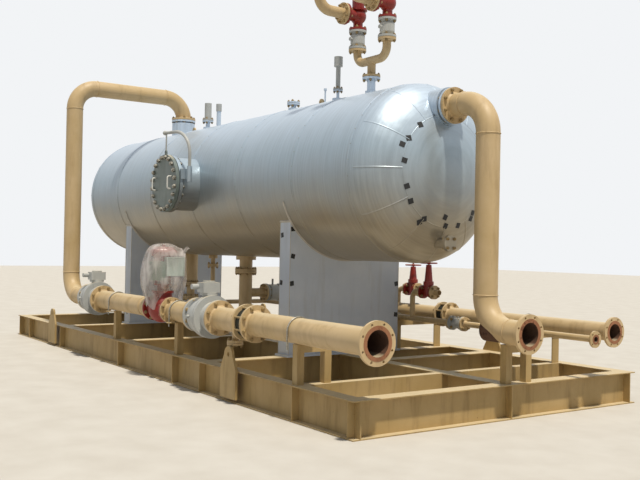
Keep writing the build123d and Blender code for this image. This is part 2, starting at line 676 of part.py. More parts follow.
lugs = []
for x in LIFT_LUG_X:
    lug_z = VESSEL_TOP_Z + LIFT_LUG_RISE - LIFT_LUG_WIDTH / 2
    plate = block((x - LIFT_LUG_WIDTH / 2, -LIFT_LUG_T / 2, VESSEL_TOP_Z - LIFT_LUG_T),
                  (x + LIFT_LUG_WIDTH / 2, LIFT_LUG_T / 2, lug_z))
    plate = plate + rod((x, -LIFT_LUG_T / 2, lug_z), ACROSS, LIFT_LUG_T, LIFT_LUG_WIDTH / 2)
    plate = plate - rod((x, -LIFT_LUG_T, lug_z), ACROSS, 2 * LIFT_LUG_T, LIFT_LUG_HOLE_R)
    lugs.append(plate - envelope)
parts["vessel_lugs"] = Compound(lugs)


def head_nozzle(z, face_x, size, clad_r, clad_short):
    """A flanged nozzle standing out of the front head along X."""
    start = (SHELL_FRONT_X, 0, z)
    length = face_x - SHELL_FRONT_X
    outer = [rod(start, ALONG, length, size["r"]), flange((face_x, 0, z), ALONG, size)]
    outer.append(rod(start, ALONG, length - clad_short, clad_r))
    return bored(outer, [rod(start, ALONG, length, size["r"] - size["wall"])]) - envelope


clad_short = PIPE_8["flange_t"] + CLAD_CLEARANCE
gas_outlet = head_nozzle(HEAD_NOZZLE_Z, HEAD_NOZZLE_FACE_X, PIPE_8, HEAD_CLAD_R, clad_short)
parts["head_nozzle"] = gas_outlet
clad_short = PIPE_2["flange_t"] + CLAD_CLEARANCE
drain = head_nozzle(DRAIN_NOZZLE_Z, DRAIN_NOZZLE_FACE_X, PIPE_2, DRAIN_CLAD_R, clad_short)
drain_seat = (DRAIN_NOZZLE_FACE_X + SEAT, 0, DRAIN_NOZZLE_Z)
drain_blind = blind(drain_seat, ALONG * -1, PIPE_2, BLIND_2_T)
parts["head_drain_nozzle"] = Compound([drain, drain_blind])

down = UP * -1
nozzle_a = vessel_nozzle(DROP_A_X, DROP_A_FACE_Z, PIPE_6, DROP_A_SLEEVE_R, SMALL_CLAD_TOP, up=False)
nozzle_b = vessel_nozzle(DROP_B_X, DROP_B_FACE_Z, PIPE_2, SMALL_CLAD_R, SMALL_CLAD_TOP, up=False)
sleeve_top = VESSEL_Z - VESSEL_R - DROP_C_FACE_Z - PIPE_4["flange_t"] - CLAD_CLEARANCE
nozzle_c = vessel_nozzle(DROP_C_X, DROP_C_FACE_Z, PIPE_4, DROP_C_SLEEVE_R, sleeve_top, up=False)
parts["bottom_nozzles"] = Compound([nozzle_a, nozzle_b, nozzle_c])

# Left line of 8 inch pipe
left_z = LINE_8_Z
ball_faces = [(x - BALL_8_LENGTH / 2 - SEAT, x + BALL_8_LENGTH / 2 + SEAT) for x in BALL_8_X]
control_faces = (CONTROL_X - CONTROL_LENGTH / 2 - SEAT, CONTROL_X + CONTROL_LENGTH / 2 + SEAT)
check_faces = (CHECK_8_X - CHECK_8_LENGTH / 2 - SEAT, CHECK_8_X + CHECK_8_LENGTH / 2 + SEAT)
back = ALONG * -1


def left(x):
    """A point on the axis of the left line."""
    return (x, LEFT_LINE_Y, left_z)


gas_start = (GAS_NOZZLE_X, 0, GAS_NOZZLE_FACE_Z + SEAT)
gas_points = [gas_start, (GAS_NOZZLE_X, 0, GAS_TOP_Z), (GAS_NOZZLE_X, LEFT_LINE_Y, GAS_TOP_Z),
              left(GAS_NOZZLE_X), left(ball_faces[0][0])]
gas_faces = [(gas_start, down), (left(ball_faces[0][0]), ALONG)]
parts["gas_riser_left"] = spool(gas_points, PIPE_8, gas_faces)


def reduced_spool(big_face, big_normal, small_face, small_normal):
    """A spool of 8 inch pipe that narrows to a 6 inch flange."""
    hub = PIPE_6["hub_l"]
    small_end = small_face - small_normal.X * hub
    big_end = small_end - small_normal.X * REDUCER_LENGTH
    run = abs(big_end - big_face)
    toward = small_normal
    outer = [rod(left(big_face), toward, run, PIPE_8["r"])]
    outer.append(flange(left(big_face), big_normal, PIPE_8))
    outer.append(cone(left(big_end), toward, REDUCER_LENGTH, PIPE_8["r"], PIPE_6["r"]))
    outer.append(rod(left(small_end), toward, hub, PIPE_6["r"]))
    outer.append(flange(left(small_face), small_normal, PIPE_6))
    bore_8 = PIPE_8["r"] - PIPE_8["wall"]
    bore_6 = PIPE_6["r"] - PIPE_6["wall"]
    inner = [rod(left(big_face), toward, run, bore_8)]
    inner.append(cone(left(big_end), toward, REDUCER_LENGTH, bore_8, bore_6))
    inner.append(rod(left(small_end), toward, hub, bore_6))
    return bored(outer, inner)


spool_rear = reduced_spool(ball_faces[0][1], back, control_faces[0], ALONG)
spool_middle = reduced_spool(ball_faces[1][0], ALONG, control_faces[1], back)
check_points = [left(ball_faces[1][1]), left(check_faces[0])]
spool_check = spool(check_points, PIPE_8, [(check_points[0], back), (check_points[1], ALONG)])
drain_face = (DRAIN_TEE_X, LEFT_LINE_Y, DRAIN_FACE_Z)
drain_top = (DRAIN_TEE_X, LEFT_LINE_Y, left_z)
drain_length = left_z - DRAIN_FACE_Z
branch = rod(drain_top, down, drain_length, PIPE_2["r"]) + flange(drain_face, down, PIPE_2)
spool_check = spool_check + branch
spool_check = spool_check - rod(drain_top, down, drain_length, PIPE_2["r"] - PIPE_2["wall"])
check_run = check_faces[0] - ball_faces[1][1]
spool_check = spool_check - rod(check_points[0], ALONG, check_run, PIPE_8["r"] - PIPE_8["wall"])
drain_plate = blind((DRAIN_TEE_X, LEFT_LINE_Y, DRAIN_FACE_Z - SEAT), UP, PIPE_2, BLIND_2_T)
front_points = [left(check_faces[1]), left(OPEN_FACE_X)]
spool_front = spool(front_points, PIPE_8, [(front_points[0], back), (front_points[1], ALONG)],
                    [(front_points[1], ALONG)])
parts["line_8in_left"] = Compound([spool_rear, spool_middle, spool_check, drain_plate, spool_front])

ball_half = BALL_8_LENGTH / 2
flange_inside = ball_half - PIPE_8["flange_t"]
step = ball_half - RAISED_FACE
joint_back = BALL_8_JOINT_X - BALL_8_JOINT_T
gap_end = BALL_8_JOINT_X + BALL_8_JOINT_GAP
joint_front = gap_end + BALL_8_JOINT_T
profile = [(-ball_half, 0), (-ball_half, PIPE_8["face_r"]),
           (-step, PIPE_8["face_r"]), (-step, PIPE_8["flange_r"]),
           (-flange_inside, PIPE_8["flange_r"]), (-flange_inside, BALL_8_THROAT_R),
           (BALL_8_BARREL_X, BALL_8_BARREL_R), (joint_back, BALL_8_BARREL_R),
           (joint_back, BALL_8_JOINT_R), (BALL_8_JOINT_X, BALL_8_JOINT_R),
           (BALL_8_JOINT_X, BALL_8_BARREL_R), (gap_end, BALL_8_BARREL_R),
           (gap_end, BALL_8_JOINT_R), (joint_front, BALL_8_JOINT_R),
           (joint_front, BALL_8_ADAPTER_R), (flange_inside, BALL_8_THROAT_R),
           (flange_inside, PIPE_8["flange_r"]), (step, PIPE_8["flange_r"]),
           (step, PIPE_8["face_r"]), (ball_half, PIPE_8["face_r"]),
           (ball_half, 0), (-ball_half, 0)]
ball_body = revolve(make_face(Polyline(*profile)), axis=Axis.X)
valves = []
for x in BALL_8_X:
    body = Pos(*left(x)) * ball_body
    for plug_x in BALL_8_PLUG_X:
        plug_start = (x + plug_x, LEFT_LINE_Y - BALL_8_BARREL_R + BALL_8_PLUG_R, left_z)
        body = body + rod(plug_start, out, BALL_8_PLUG_REACH + BALL_8_PLUG_R, BALL_8_PLUG_R)
    body = body + rod((x, LEFT_LINE_Y, left_z), UP, GEAR_BOTTOM_Z - left_z, GEAR_NECK_R)
    plate_z = GEAR_BOTTOM_Z - BONNET_FLANGE_T
    body = body + rod((x, LEFT_LINE_Y, plate_z), UP, BONNET_FLANGE_T, GEAR_NECK_FLANGE_R)
    gear = block((x - GEAR_LENGTH / 2, LEFT_LINE_Y - GEAR_WIDTH / 2, GEAR_BOTTOM_Z),
                 (x + GEAR_LENGTH / 2, LEFT_LINE_Y + GEAR_WIDTH / 2, GEAR_TOP_Z - GEAR_CAP_RISE))
    gear = fillet(gear.edges().filter_by(Axis.Z), GEAR_CAP_RISE)
    cap = rod((x, LEFT_LINE_Y, GEAR_BOTTOM_Z), UP, GEAR_TOP_Z - GEAR_BOTTOM_Z, GEAR_CAP_R)
    body = body + gear + cap
    shaft_x = x - GEAR_LENGTH / 2 + GEAR_SHAFT_R
    shaft_z = (GEAR_BOTTOM_Z + GEAR_TOP_Z) / 2
    shaft_length = GEAR_WIDTH / 2 + GEAR_SHAFT_REACH
    body = body + rod((shaft_x, LEFT_LINE_Y, shaft_z), out, shaft_length, GEAR_SHAFT_R)
    valves.append(body)
parts["ball_valves_8in"] = Compound(valves)

# Control valve
control_bore_r = PIPE_6["face_r"] - CLAD_CLEARANCE
control = rod(left(CONTROL_X - CONTROL_LENGTH / 2), ALONG, CONTROL_LENGTH, control_bore_r)
control = control + flange(left(CONTROL_X - CONTROL_LENGTH / 2), back, PIPE_6)
control = control + flange(left(CONTROL_X + CONTROL_LENGTH / 2), ALONG, PIPE_6)
control = control + Pos(*left(CONTROL_X)) * Sphere(CONTROL_BODY_R)
control_neck_r = BONNET_FLANGE_R - CLAD_CLEARANCE
control = control + rod(left(CONTROL_X), UP, BONNET_FLANGE_Z - left_z, control_neck_r)
bonnet_start = (CONTROL_X, LEFT_LINE_Y, BONNET_FLANGE_Z)
control = control + rod(bonnet_start, UP, BONNET_FLANGE_T, BONNET_FLANGE_R)
control = control + rod(bonnet_start, UP, YOKE_BOTTOM_Z - BONNET_FLANGE_Z, BONNET_R)
parts["control_valve_body"] = control

yoke_foot_z = YOKE_BOTTOM_Z + SEAT
yoke_height = YOKE_TOP_Z - YOKE_BOTTOM_Z
yoke = rod((CONTROL_X, LEFT_LINE_Y, yoke_foot_z), UP, YOKE_PLATE_T, YOKE_PLATE_R)
yoke = yoke + rod((CONTROL_X, LEFT_LINE_Y, YOKE_TOP_Z), UP, YOKE_PLATE_T, YOKE_PLATE_R)
yoke = yoke + rod((CONTROL_X, LEFT_LINE_Y, yoke_foot_z), UP, yoke_height, STEM_R)
for s in (-1, 1):
    leg_y = LEFT_LINE_Y + s * YOKE_LEG_Y
    yoke = yoke + rod((CONTROL_X, leg_y, yoke_foot_z), UP, yoke_height, YOKE_LEG_R)
rim_low_z = CASING_MID_Z - CASING_RIM_T / 2
rim_high_z = CASING_MID_Z + CASING_RIM_T / 2
dome_r = CASING_R - CASING_RIM_T
hub_r = YOKE_PLATE_R - YOKE_PLATE_T
nipple_length = CASING_DOME + CASING_NIPPLE_RISE
casing_mid = (CONTROL_X, LEFT_LINE_Y, CASING_MID_Z)
casing = rod((CONTROL_X, LEFT_LINE_Y, rim_low_z), UP, CASING_RIM_T, CASING_R)
casing = casing + cone((CONTROL_X, LEFT_LINE_Y, rim_low_z), down, CASING_DOME, dome_r, YOKE_PLATE_R)
casing = casing + cone((CONTROL_X, LEFT_LINE_Y, rim_high_z), UP, CASING_DOME, dome_r, YOKE_PLATE_R)
casing = casing + rod((CONTROL_X, LEFT_LINE_Y, YOKE_TOP_Z), UP, CASING_MID_Z - YOKE_TOP_Z, hub_r)
casing = casing + rod(casing_mid, UP, nipple_length, CASING_NIPPLE_R)
parts["control_valve_actuator"] = yoke + casing

box_half_x = POSITIONER_LENGTH / 2
box_half_y = POSITIONER_WIDTH / 2
positioner = block((POSITIONER_X - box_half_x, POSITIONER_Y - box_half_y, POSITIONER_BOTTOM_Z),
                   (POSITIONER_X + box_half_x, POSITIONER_Y + box_half_y, POSITIONER_TOP_Z))
positioner = fillet(positioner.edges().filter_by(Axis.X), POSITIONER_CORNER)
parts["positioner"] = positioner

bag_foot = (0, BAG_PROFILE[0][1])
bag_outer = make_face(Polyline(bag_foot, *BAG_PROFILE, (0, BAG_TOP_Z), bag_foot))
inner_points = [(r - BAG_T, z) for r, z in BAG_PROFILE]
bag_inner = make_face(Polyline(bag_foot, *inner_points, (0, BAG_TOP_Z - BAG_T), bag_foot))
bag = revolve(Plane.XZ * (bag_outer - bag_inner), axis=Axis.Z)
bag = Pos(CONTROL_X, LEFT_LINE_Y, 0) * bag
bag_opening_r = PIPE_6["flange_r"] + BAG_CLEARANCE
bag = bag - rod(left(CONTROL_X - CONTROL_LENGTH), ALONG, 2 * CONTROL_LENGTH, bag_opening_r)
parts["plastic_bag"] = bag

# Check valves
check_8 = rod(left(CHECK_8_X - CHECK_8_LENGTH / 2), ALONG, CHECK_8_LENGTH, CHECK_8_R)
check_6_start = (CHECK_6_X - CHECK_6_LENGTH / 2, LINE_6_Y, LINE_6_Z)
check_6 = rod(check_6_start, ALONG, CHECK_6_LENGTH, CHECK_6_R)
parts["check_valves"] = Compound([check_8, check_6])

# Riser from the front head
riser_points = [(HEAD_NOZZLE_FACE_X + SEAT, 0, HEAD_NOZZLE_Z), (RISER_X, 0, HEAD_NOZZLE_Z),
                (RISER_X, 0, LINE_8_Z), (OPEN_FACE_X, 0, LINE_8_Z)]
riser_open = (riser_points[-1], ALONG)
parts["riser_front"] = spool(riser_points, PIPE_8, [(riser_points[0], back), riser_open], [riser_open])

# Relief tree
tee_start = (RELIEF_X, 0, RELIEF_FACE_Z + SEAT)
stem_points = [tee_start, (RELIEF_X, 0, RELIEF_TEE_Z)]
arm_points = [(RELIEF_LEFT_X, 0, RELIEF_LEFT_FACE_Z), (RELIEF_LEFT_X, 0, RELIEF_TEE_Z),
              (RELIEF_RIGHT_X, 0, RELIEF_TEE_Z), (RELIEF_RIGHT_X, 0, RELIEF_RIGHT_FACE_Z)]
stem = pipe(stem_points, PIPE_3)
arms = pipe(arm_points, PIPE_3)
tee_flanges = [flange(tee_start, down, PIPE_3), flange(arm_points[0], UP, PIPE_3)]
tee_flanges.append(flange(arm_points[-1], UP, PIPE_3))
parts["relief_tee"] = bored([stem[0], arms[0]] + tee_flanges, [stem[1], arms[1]])

relief_places = ((RELIEF_LEFT_X, RELIEF_LEFT_FACE_Z), (RELIEF_RIGHT_X, RELIEF_RIGHT_FACE_Z))
relief_balls = []
reliefs = []
tails = []
for x, face_z in relief_places:
    centre_z = face_z + SEAT + BALL_3_LENGTH / 2
    body = ball_valve((x, 0, centre_z), UP, BALL_3_LENGTH, PIPE_3, BALL_3_R, BALL_3_WAIST_R)
    body = body + rod((x, 0, centre_z), out, HANDLE_NECK_REACH, HANDLE_NECK_R)
    relief_balls.append(body)
    inlet_z = centre_z + BALL_3_LENGTH / 2 + SEAT
    axis_z = inlet_z + RELIEF_INLET
    relief = rod((x, 0, inlet_z), UP, RELIEF_INLET, RELIEF_NECK_R)
    relief = relief + flange((x, 0, inlet_z), down, PIPE_3)
    relief = relief + Pos(x, 0, axis_z) * Sphere(RELIEF_BODY_R)
    relief = relief + rod((x, 0, axis_z), out, RELIEF_OUTLET, RELIEF_OUTLET_R)
    relief = relief + flange((x, -RELIEF_OUTLET, axis_z), out, PIPE_4)
    relief = relief + rod((x, 0, axis_z), UP, RELIEF_BONNET_TOP, RELIEF_BONNET_R)
    plate_z = inlet_z + RELIEF_BONNET_Z + RELIEF_PLATE_T
    relief = relief + rod((x, 0, plate_z), UP, RELIEF_PLATE_T, RELIEF_PLATE_R)
    relief = relief + rod((x, 0, axis_z), UP, RELIEF_CAP_TOP, RELIEF_CAP_R)
    reliefs.append(relief)
    tail_start = (x, -RELIEF_OUTLET - SEAT, axis_z)
    tail_y = -RELIEF_OUTLET - TAIL_REACH
    tail_points = [tail_start, (x, tail_y, axis_z), (x, tail_y, axis_z + TAIL_RISE)]
    tails.append(spool(tail_points, PIPE_4, [(tail_start, ACROSS)]))
parts["relief_ball_valves"] = Compound(relief_balls)
parts["relief_valves"] = Compound(reliefs)
parts["relief_tail_pipes"] = Compound(tails)

# Liquid lines
drop_start = (DROP_A_X, 0, DROP_A_FACE_Z - SEAT)
drop_points = [drop_start, (DROP_A_X, 0, DROP_A_FOOT_Z)]
drop = pipe(drop_points, PIPE_6)
ball_4_faces = (BALL_4_Y - BALL_4_LENGTH / 2 - SEAT, BALL_4_Y + BALL_4_LENGTH / 2 + SEAT)
cross_points = [(DROP_A_X, 0, DROP_A_TEE_Z), (DROP_A_X, ball_4_faces[0], DROP_A_TEE_Z)]
cross = pipe(cross_points, PIPE_4)
drop_flanges = [flange(drop_start, UP, PIPE_6), flange(drop_points[1], down, PIPE_6)]
drop_flanges.append(flange(cross_points[1], ACROSS, PIPE_4))
liquid_drop = bored([drop[0], cross[0]] + drop_flanges, [drop[1], cross[1]])
foot_plate = blind((DROP_A_X, 0, DROP_A_FOOT_Z - SEAT), UP, PIPE_6, BLIND_6_T)
c_start = (DROP_C_X, 0, DROP_C_FACE_Z - SEAT)
c_points = [c_start, (DROP_C_X, 0, DROP_C_FOOT_Z)]
c_drop = spool(c_points, PIPE_4, [(c_start, UP), (c_points[1], down)])
c_plate = blind((DROP_C_X, 0, DROP_C_FOOT_Z - SEAT), UP, PIPE_4, PIPE_4["flange_t"])
parts["liquid_drops"] = Compound([liquid_drop, foot_plate, c_drop, c_plate])

ball_4_mid = (DROP_A_X, BALL_4_Y, DROP_A_TEE_Z)
ball_4 = ball_valve(ball_4_mid, ACROSS, BALL_4_LENGTH, PIPE_4, BALL_4_R, BALL_4_WAIST_R)
ball_4 = ball_4 + rod(ball_4_mid, UP, BALL_4_R + LEVER_NECK_REACH, LEVER_NECK_R)
ball_2_mid = (BALL_2_X, LINE_2_Y, LINE_2_Z)
ball_2 = ball_valve(ball_2_mid, ALONG, BALL_2_LENGTH, PIPE_2, BALL_2_R, BALL_2_WAIST_R)
ball_2 = ball_2 + rod(ball_2_mid, UP, LEVER_NECK_REACH, LEVER_NECK_R)
parts["ball_valves_small"] = Compound([ball_4, ball_2])

cross_start = (DROP_A_X, ball_4_faces[1], DROP_A_TEE_Z)
drop_height = DROP_A_TEE_Z - LINE_6_Z
offset_end_x = OFFSET_START_X + drop_height
taper_start = (REDUCER_46_X, LINE_6_Y, LINE_6_Z)
feed_points = [cross_start, (DROP_A_X, LINE_6_Y, DROP_A_TEE_Z),
               (OFFSET_START_X, LINE_6_Y, DROP_A_TEE_Z), (offset_end_x, LINE_6_Y, LINE_6_Z),
               taper_start]
feed = pipe(feed_points, PIPE_4)
wide_x = REDUCER_46_X + REDUCER_46_LENGTH
check_6_faces = (CHECK_6_X - CHECK_6_LENGTH / 2 - SEAT, CHECK_6_X + CHECK_6_LENGTH / 2 + SEAT)
wide_points = [(wide_x, LINE_6_Y, LINE_6_Z), (check_6_faces[0], LINE_6_Y, LINE_6_Z)]
wide = pipe(wide_points, PIPE_6)
taper = cone(taper_start, ALONG, REDUCER_46_LENGTH, PIPE_4["r"], PIPE_6["r"])
bore_4 = PIPE_4["r"] - PIPE_4["wall"]
bore_6 = PIPE_6["r"] - PIPE_6["wall"]
taper_bore = cone(taper_start, ALONG, REDUCER_46_LENGTH, bore_4, bore_6)


def gate_branch(x, y, line_z):
    """A small branch that rises from a line and turns along it to a gate valve."""
    face_x = x - GATE_LENGTH / 2 - SEAT
    rise_x = face_x - GATE_BRANCH
    points = [(rise_x, y, line_z), (rise_x, y, GATE_Z), (face_x, y, GATE_Z)]
    outer, bore = pipe(points, dict(PIPE_2, r=PIPE_2["r"] - SEAT))
    return [outer, flange(points[-1], ALONG, PIPE_2)], [bore]


branch_1 = gate_branch(GATE_1_X, LINE_6_Y, LINE_6_Z)
feed_flanges = [flange(cross_start, out, PIPE_4), flange(wide_points[1], ALONG, PIPE_6)]
upstream = bored([feed[0], taper, wide[0]] + branch_1[0] + feed_flanges,
                 [feed[1], taper_bore, wide[1]] + branch_1[1])
end_points = [(check_6_faces[1], LINE_6_Y, LINE_6_Z), (OPEN_FACE_X, LINE_6_Y, LINE_6_Z)]
open_6 = (end_points[1], ALONG)
downstream = spool(end_points, PIPE_6, [(end_points[0], back), open_6], [open_6])
parts["line_6in"] = Compound([upstream, downstream])

b_start = (DROP_B_X, 0, DROP_B_FACE_Z - SEAT)
ball_2_faces = (BALL_2_X - BALL_2_LENGTH / 2 - SEAT, BALL_2_X + BALL_2_LENGTH / 2 + SEAT)
b_points = [b_start, (DROP_B_X, 0, LINE_2_Z), (DROP_B_X, LINE_2_Y, LINE_2_Z),
            (ball_2_faces[0], LINE_2_Y, LINE_2_Z)]
b_pipe = pipe(b_points, PIPE_2)
branch_2 = gate_branch(GATE_2_X, LINE_2_Y, LINE_2_Z)
b_flanges = [flange(b_start, UP, PIPE_2), flange(b_points[-1], ALONG, PIPE_2)]
b_up = bored([b_pipe[0]] + branch_2[0] + b_flanges, [b_pipe[1]] + branch_2[1])
b_end = [(ball_2_faces[1], LINE_2_Y, LINE_2_Z), (OPEN_FACE_X, LINE_2_Y, LINE_2_Z)]
open_2 = (b_end[1], ALONG)
b_down = spool(b_end, PIPE_2, [(b_end[0], back), open_2], [open_2])
parts["line_2in"] = Compound([b_up, b_down])

# Gate valves and their wheels
gates = []
stubs = []
for x, y, wheel_z in ((GATE_1_X, LINE_6_Y, WHEEL_Z[0]), (GATE_2_X, LINE_2_Y, WHEEL_Z[1])):
    half = GATE_LENGTH / 2
    gate = rod((x - half, y, GATE_Z), ALONG, GATE_LENGTH, PIPE_2["hub_r"])
    gate = gate + flange((x - half, y, GATE_Z), back, PIPE_2)
    gate = gate + flange((x + half, y, GATE_Z), ALONG, PIPE_2)
    gate_foot_z = GATE_Z - GATE_BODY_R
    gate = gate + rod((x, y, gate_foot_z), UP, GATE_BONNET_Z - gate_foot_z, GATE_BODY_R)
    gate = gate + rod((x, y, GATE_BONNET_Z - GATE_BONNET_T), UP, 2 * GATE_BONNET_T, GATE_BONNET_R)
    yoke_top = wheel_z - WHEEL_HUB_T / 2 - WHEEL_GAP
    gate = gate + cone((x, y, GATE_BONNET_Z), UP, yoke_top - GATE_BONNET_Z, GATE_BODY_R, GATE_YOKE_R)
    stem_length = wheel_z - GATE_BONNET_Z + WHEEL_HUB_T
    gate = gate + rod((x, y, GATE_BONNET_Z), UP, stem_length, GATE_STEM_R)
    gates.append(gate)
    stub_start = (x + half + SEAT, y, GATE_Z)
    stub_end = (x + half + SEAT + GATE_STUB, y, GATE_Z)
    stubs.append(spool([stub_start, stub_end], PIPE_2, [(stub_start, back)]))
parts["gate_valves"] = Compound(gates)
parts["branch_stubs"] = Compound(stubs)


def handwheel(x, y, z):
    """A spoked wheel about an upright stem."""
    hub = Pos(x, y, z) * Cylinder(WHEEL_HUB_R, WHEEL_HUB_T)
    rim_section = Pos(WHEEL_R, 0) * Circle(WHEEL_RIM_R)
    rim = revolve(Plane.XZ * rim_section, axis=Axis.Z)
    wheel = hub + Pos(x, y, z) * Rot(0, 0, 180.0 / WHEEL_SPOKES) * rim
    for index in range(WHEEL_SPOKES):
        angle = math.radians(360.0 / WHEEL_SPOKES * index)
        direction = Vector(math.cos(angle), math.sin(angle), 0)
        wheel = wheel + rod((x, y, z), direction, WHEEL_R, WHEEL_SPOKE_R)
    return wheel - Pos(x, y, z) * Cylinder(GATE_STEM_R + STEM_CLEARANCE, WHEEL_HUB_T * 2)


parts["handwheel_6in_branch"] = handwheel(GATE_1_X, LINE_6_Y, WHEEL_Z[0])
parts["handwheel_2in_branch"] = handwheel(GATE_2_X, LINE_2_Y, WHEEL_Z[1])

# Supports
post_foot = BEAM_HEIGHT + SEAT
cap_top = PIPE_BOTTOM_Z - SEAT
cap_low = cap_top - POST_CAP_T


def capped_post(x, y, size):
    """A square post with a cap plate under a pipe."""
    post = square_post(x, y, post_foot, cap_low)
    half = size["r"] + POST_CAP_MARGIN
    cap = block((x - POST_SIDE / 2, y - half, cap_low), (x + POST_SIDE / 2, y + half, cap_top))
    shape = post + cap
    for hole in u_bolt_cut(x, y, size):
        shape = shape - hole
    return shape


posts = [capped_post(x, LEFT_LINE_Y, PIPE_8) for x in LEFT_POST_X]
parts["support_posts"] = Compound(posts)


def pipe_frame(x, ys):
    """Two posts and the mitred rail that joins their tops."""
    low_y = min(ys) - POST_SIDE / 2
    high_y = max(ys) + POST_SIDE / 2
    half = POST_SIDE / 2
    inner = half - POST_WALL
    rail_low = cap_top - POST_SIDE
    frame = block((x - half, low_y, rail_low), (x + half, high_y, cap_top))
    for y in ys:
        frame = frame + square_post(x, y, post_foot, rail_low)
    return frame - block((x - inner, low_y + POST_WALL, rail_low + POST_WALL),
                         (x + inner, high_y - POST_WALL, cap_top - POST_WALL))


def angle_frame(x, far_y):
    """Two posts of angle iron and the rail that lies across them, under both small lines."""
    half = ANGLE_LEG / 2
    front = x + RAIL_LEG / 2
    back = front - RAIL_T
    top = cap_top - RAIL_T
    low_y = NEAR_POST_Y - half
    frame = block((x - RAIL_LEG / 2, low_y, top), (front, far_y + half, cap_top))
    frame = frame + block((back, low_y, cap_top - RAIL_LEG), (front, far_y + half, cap_top))
    for y in (NEAR_POST_Y, far_y):
        frame = frame + block((back - ANGLE_T, y - half, post_foot), (back, y + half, top))
        side_y = y + half - ANGLE_T
        frame = frame + block((back - ANGLE_DEPTH, side_y, post_foot), (back, y + half, top))
    for line_y, size in ((LINE_2_Y, PIPE_2), (LINE_6_Y, PIPE_6)):
        for hole in u_bolt_cut(x, line_y, size):
            frame = frame - hole
    return frame


frame_left = pipe_frame(FRAME_LEFT_X, FRAME_LEFT_Y)
for hole in u_bolt_cut(FRAME_LEFT_X, LEFT_LINE_Y, PIPE_8):
    frame_left = frame_left - hole
frame_right = pipe_frame(FRAME_RIGHT_X, FRAME_RIGHT_Y)
angle_frames = [angle_frame(x, far_y) for x, far_y in ANGLE_FRAMES]
parts["support_frames"] = Compound([frame_left, frame_right] + angle_frames)

u_places = [(x, LEFT_LINE_Y, PIPE_8) for x in LEFT_POST_X + (FRAME_LEFT_X,)]
u_places = u_places + [(x, LINE_6_Y, PIPE_6) for x, far_y in ANGLE_FRAMES]
u_places = u_places + [(x, LINE_2_Y, PIPE_2) for x, far_y in ANGLE_FRAMES]
parts["u_bolts"] = Compound([u_bolt(x, y, size) for x, y, size in u_places])

# Instruments on the top nozzles
gauge = blind((GAUGE_X, 0, GAUGE_FACE_Z + SEAT), down, PIPE_1, PIPE_1["flange_t"])
gauge_base = (GAUGE_X, 0, GAUGE_FACE_Z + SEAT)
gauge = gauge + rod(gauge_base, UP, INSTRUMENT_TOP_Z - GAUGE_FACE_Z, INSTRUMENT_R)
gauge_head = (GAUGE_X, 0, INSTRUMENT_TOP_Z - INSTRUMENT_HEAD_L)
gauge = gauge + rod(gauge_head, UP, INSTRUMENT_HEAD_L, INSTRUMENT_HEAD_R)
rear_base = (REAR_GAUGE_X, 0, REAR_GAUGE_FACE_Z + SEAT)
rear = blind(rear_base, down, PIPE_2, PIPE_2["flange_t"])
rear = rear + rod(rear_base, UP, REAR_INSTRUMENT_TOP_Z - REAR_GAUGE_FACE_Z, INSTRUMENT_HEAD_R)
fitting = rod((STUB_X, 0, STUB_TOP_Z + SEAT), UP, FITTING_TOP_Z - STUB_TOP_Z, FITTING_R)
parts["top_instruments"] = Compound([gauge, rear, fitting])

os.makedirs("parts", exist_ok=True)
for name, shape in parts.items():
    export_step(shape, "parts/" + name + ".step")
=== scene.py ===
# %% [markdown]
# # A separator vessel on its skid
# The vessel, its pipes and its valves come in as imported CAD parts, in metres, each at the
# place where it belongs. This lesson dresses them: every part gets the finish of the real
# one, and the pieces too small or too soft for CAD, such as bolts, weld beads, cladding
# seams and a plastic bag, are modelled here around them.

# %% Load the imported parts
import json
import math
import random
import bpy
import bmesh
from mathutils import Matrix, Vector, noise

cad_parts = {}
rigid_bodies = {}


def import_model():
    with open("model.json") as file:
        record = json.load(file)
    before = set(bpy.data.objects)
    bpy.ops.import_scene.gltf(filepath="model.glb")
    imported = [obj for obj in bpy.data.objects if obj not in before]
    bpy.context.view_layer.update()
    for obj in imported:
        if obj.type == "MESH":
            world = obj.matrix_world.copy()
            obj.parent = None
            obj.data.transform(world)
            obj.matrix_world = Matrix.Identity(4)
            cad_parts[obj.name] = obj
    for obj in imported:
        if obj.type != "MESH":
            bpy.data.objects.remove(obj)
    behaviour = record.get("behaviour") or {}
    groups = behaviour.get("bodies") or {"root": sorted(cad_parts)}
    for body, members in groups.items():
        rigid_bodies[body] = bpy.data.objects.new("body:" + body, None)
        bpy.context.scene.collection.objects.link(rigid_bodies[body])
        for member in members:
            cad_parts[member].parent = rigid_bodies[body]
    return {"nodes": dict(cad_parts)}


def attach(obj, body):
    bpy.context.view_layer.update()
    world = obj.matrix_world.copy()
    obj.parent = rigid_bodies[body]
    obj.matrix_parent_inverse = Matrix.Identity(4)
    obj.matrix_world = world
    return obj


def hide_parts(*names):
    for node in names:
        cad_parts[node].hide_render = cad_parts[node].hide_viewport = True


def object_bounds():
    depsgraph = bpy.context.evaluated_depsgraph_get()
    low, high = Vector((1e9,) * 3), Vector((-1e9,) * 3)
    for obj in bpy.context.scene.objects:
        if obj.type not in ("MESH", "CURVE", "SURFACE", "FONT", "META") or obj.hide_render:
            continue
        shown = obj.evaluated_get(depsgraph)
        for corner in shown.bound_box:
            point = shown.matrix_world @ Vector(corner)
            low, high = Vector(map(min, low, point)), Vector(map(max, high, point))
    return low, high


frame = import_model()
cad_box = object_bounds()
print("CAD box", cad_box)

# %% [markdown]
# ## The camera
# The camera comes first, because everything is judged through it. It stands in front of
# the open pipe ends at the left corner of the skid, at the height of a person's chest. A
# camera looks down its own -Z axis, so its matrix is built from the way it looks, with a
# small roll, because nobody holds a camera quite level.

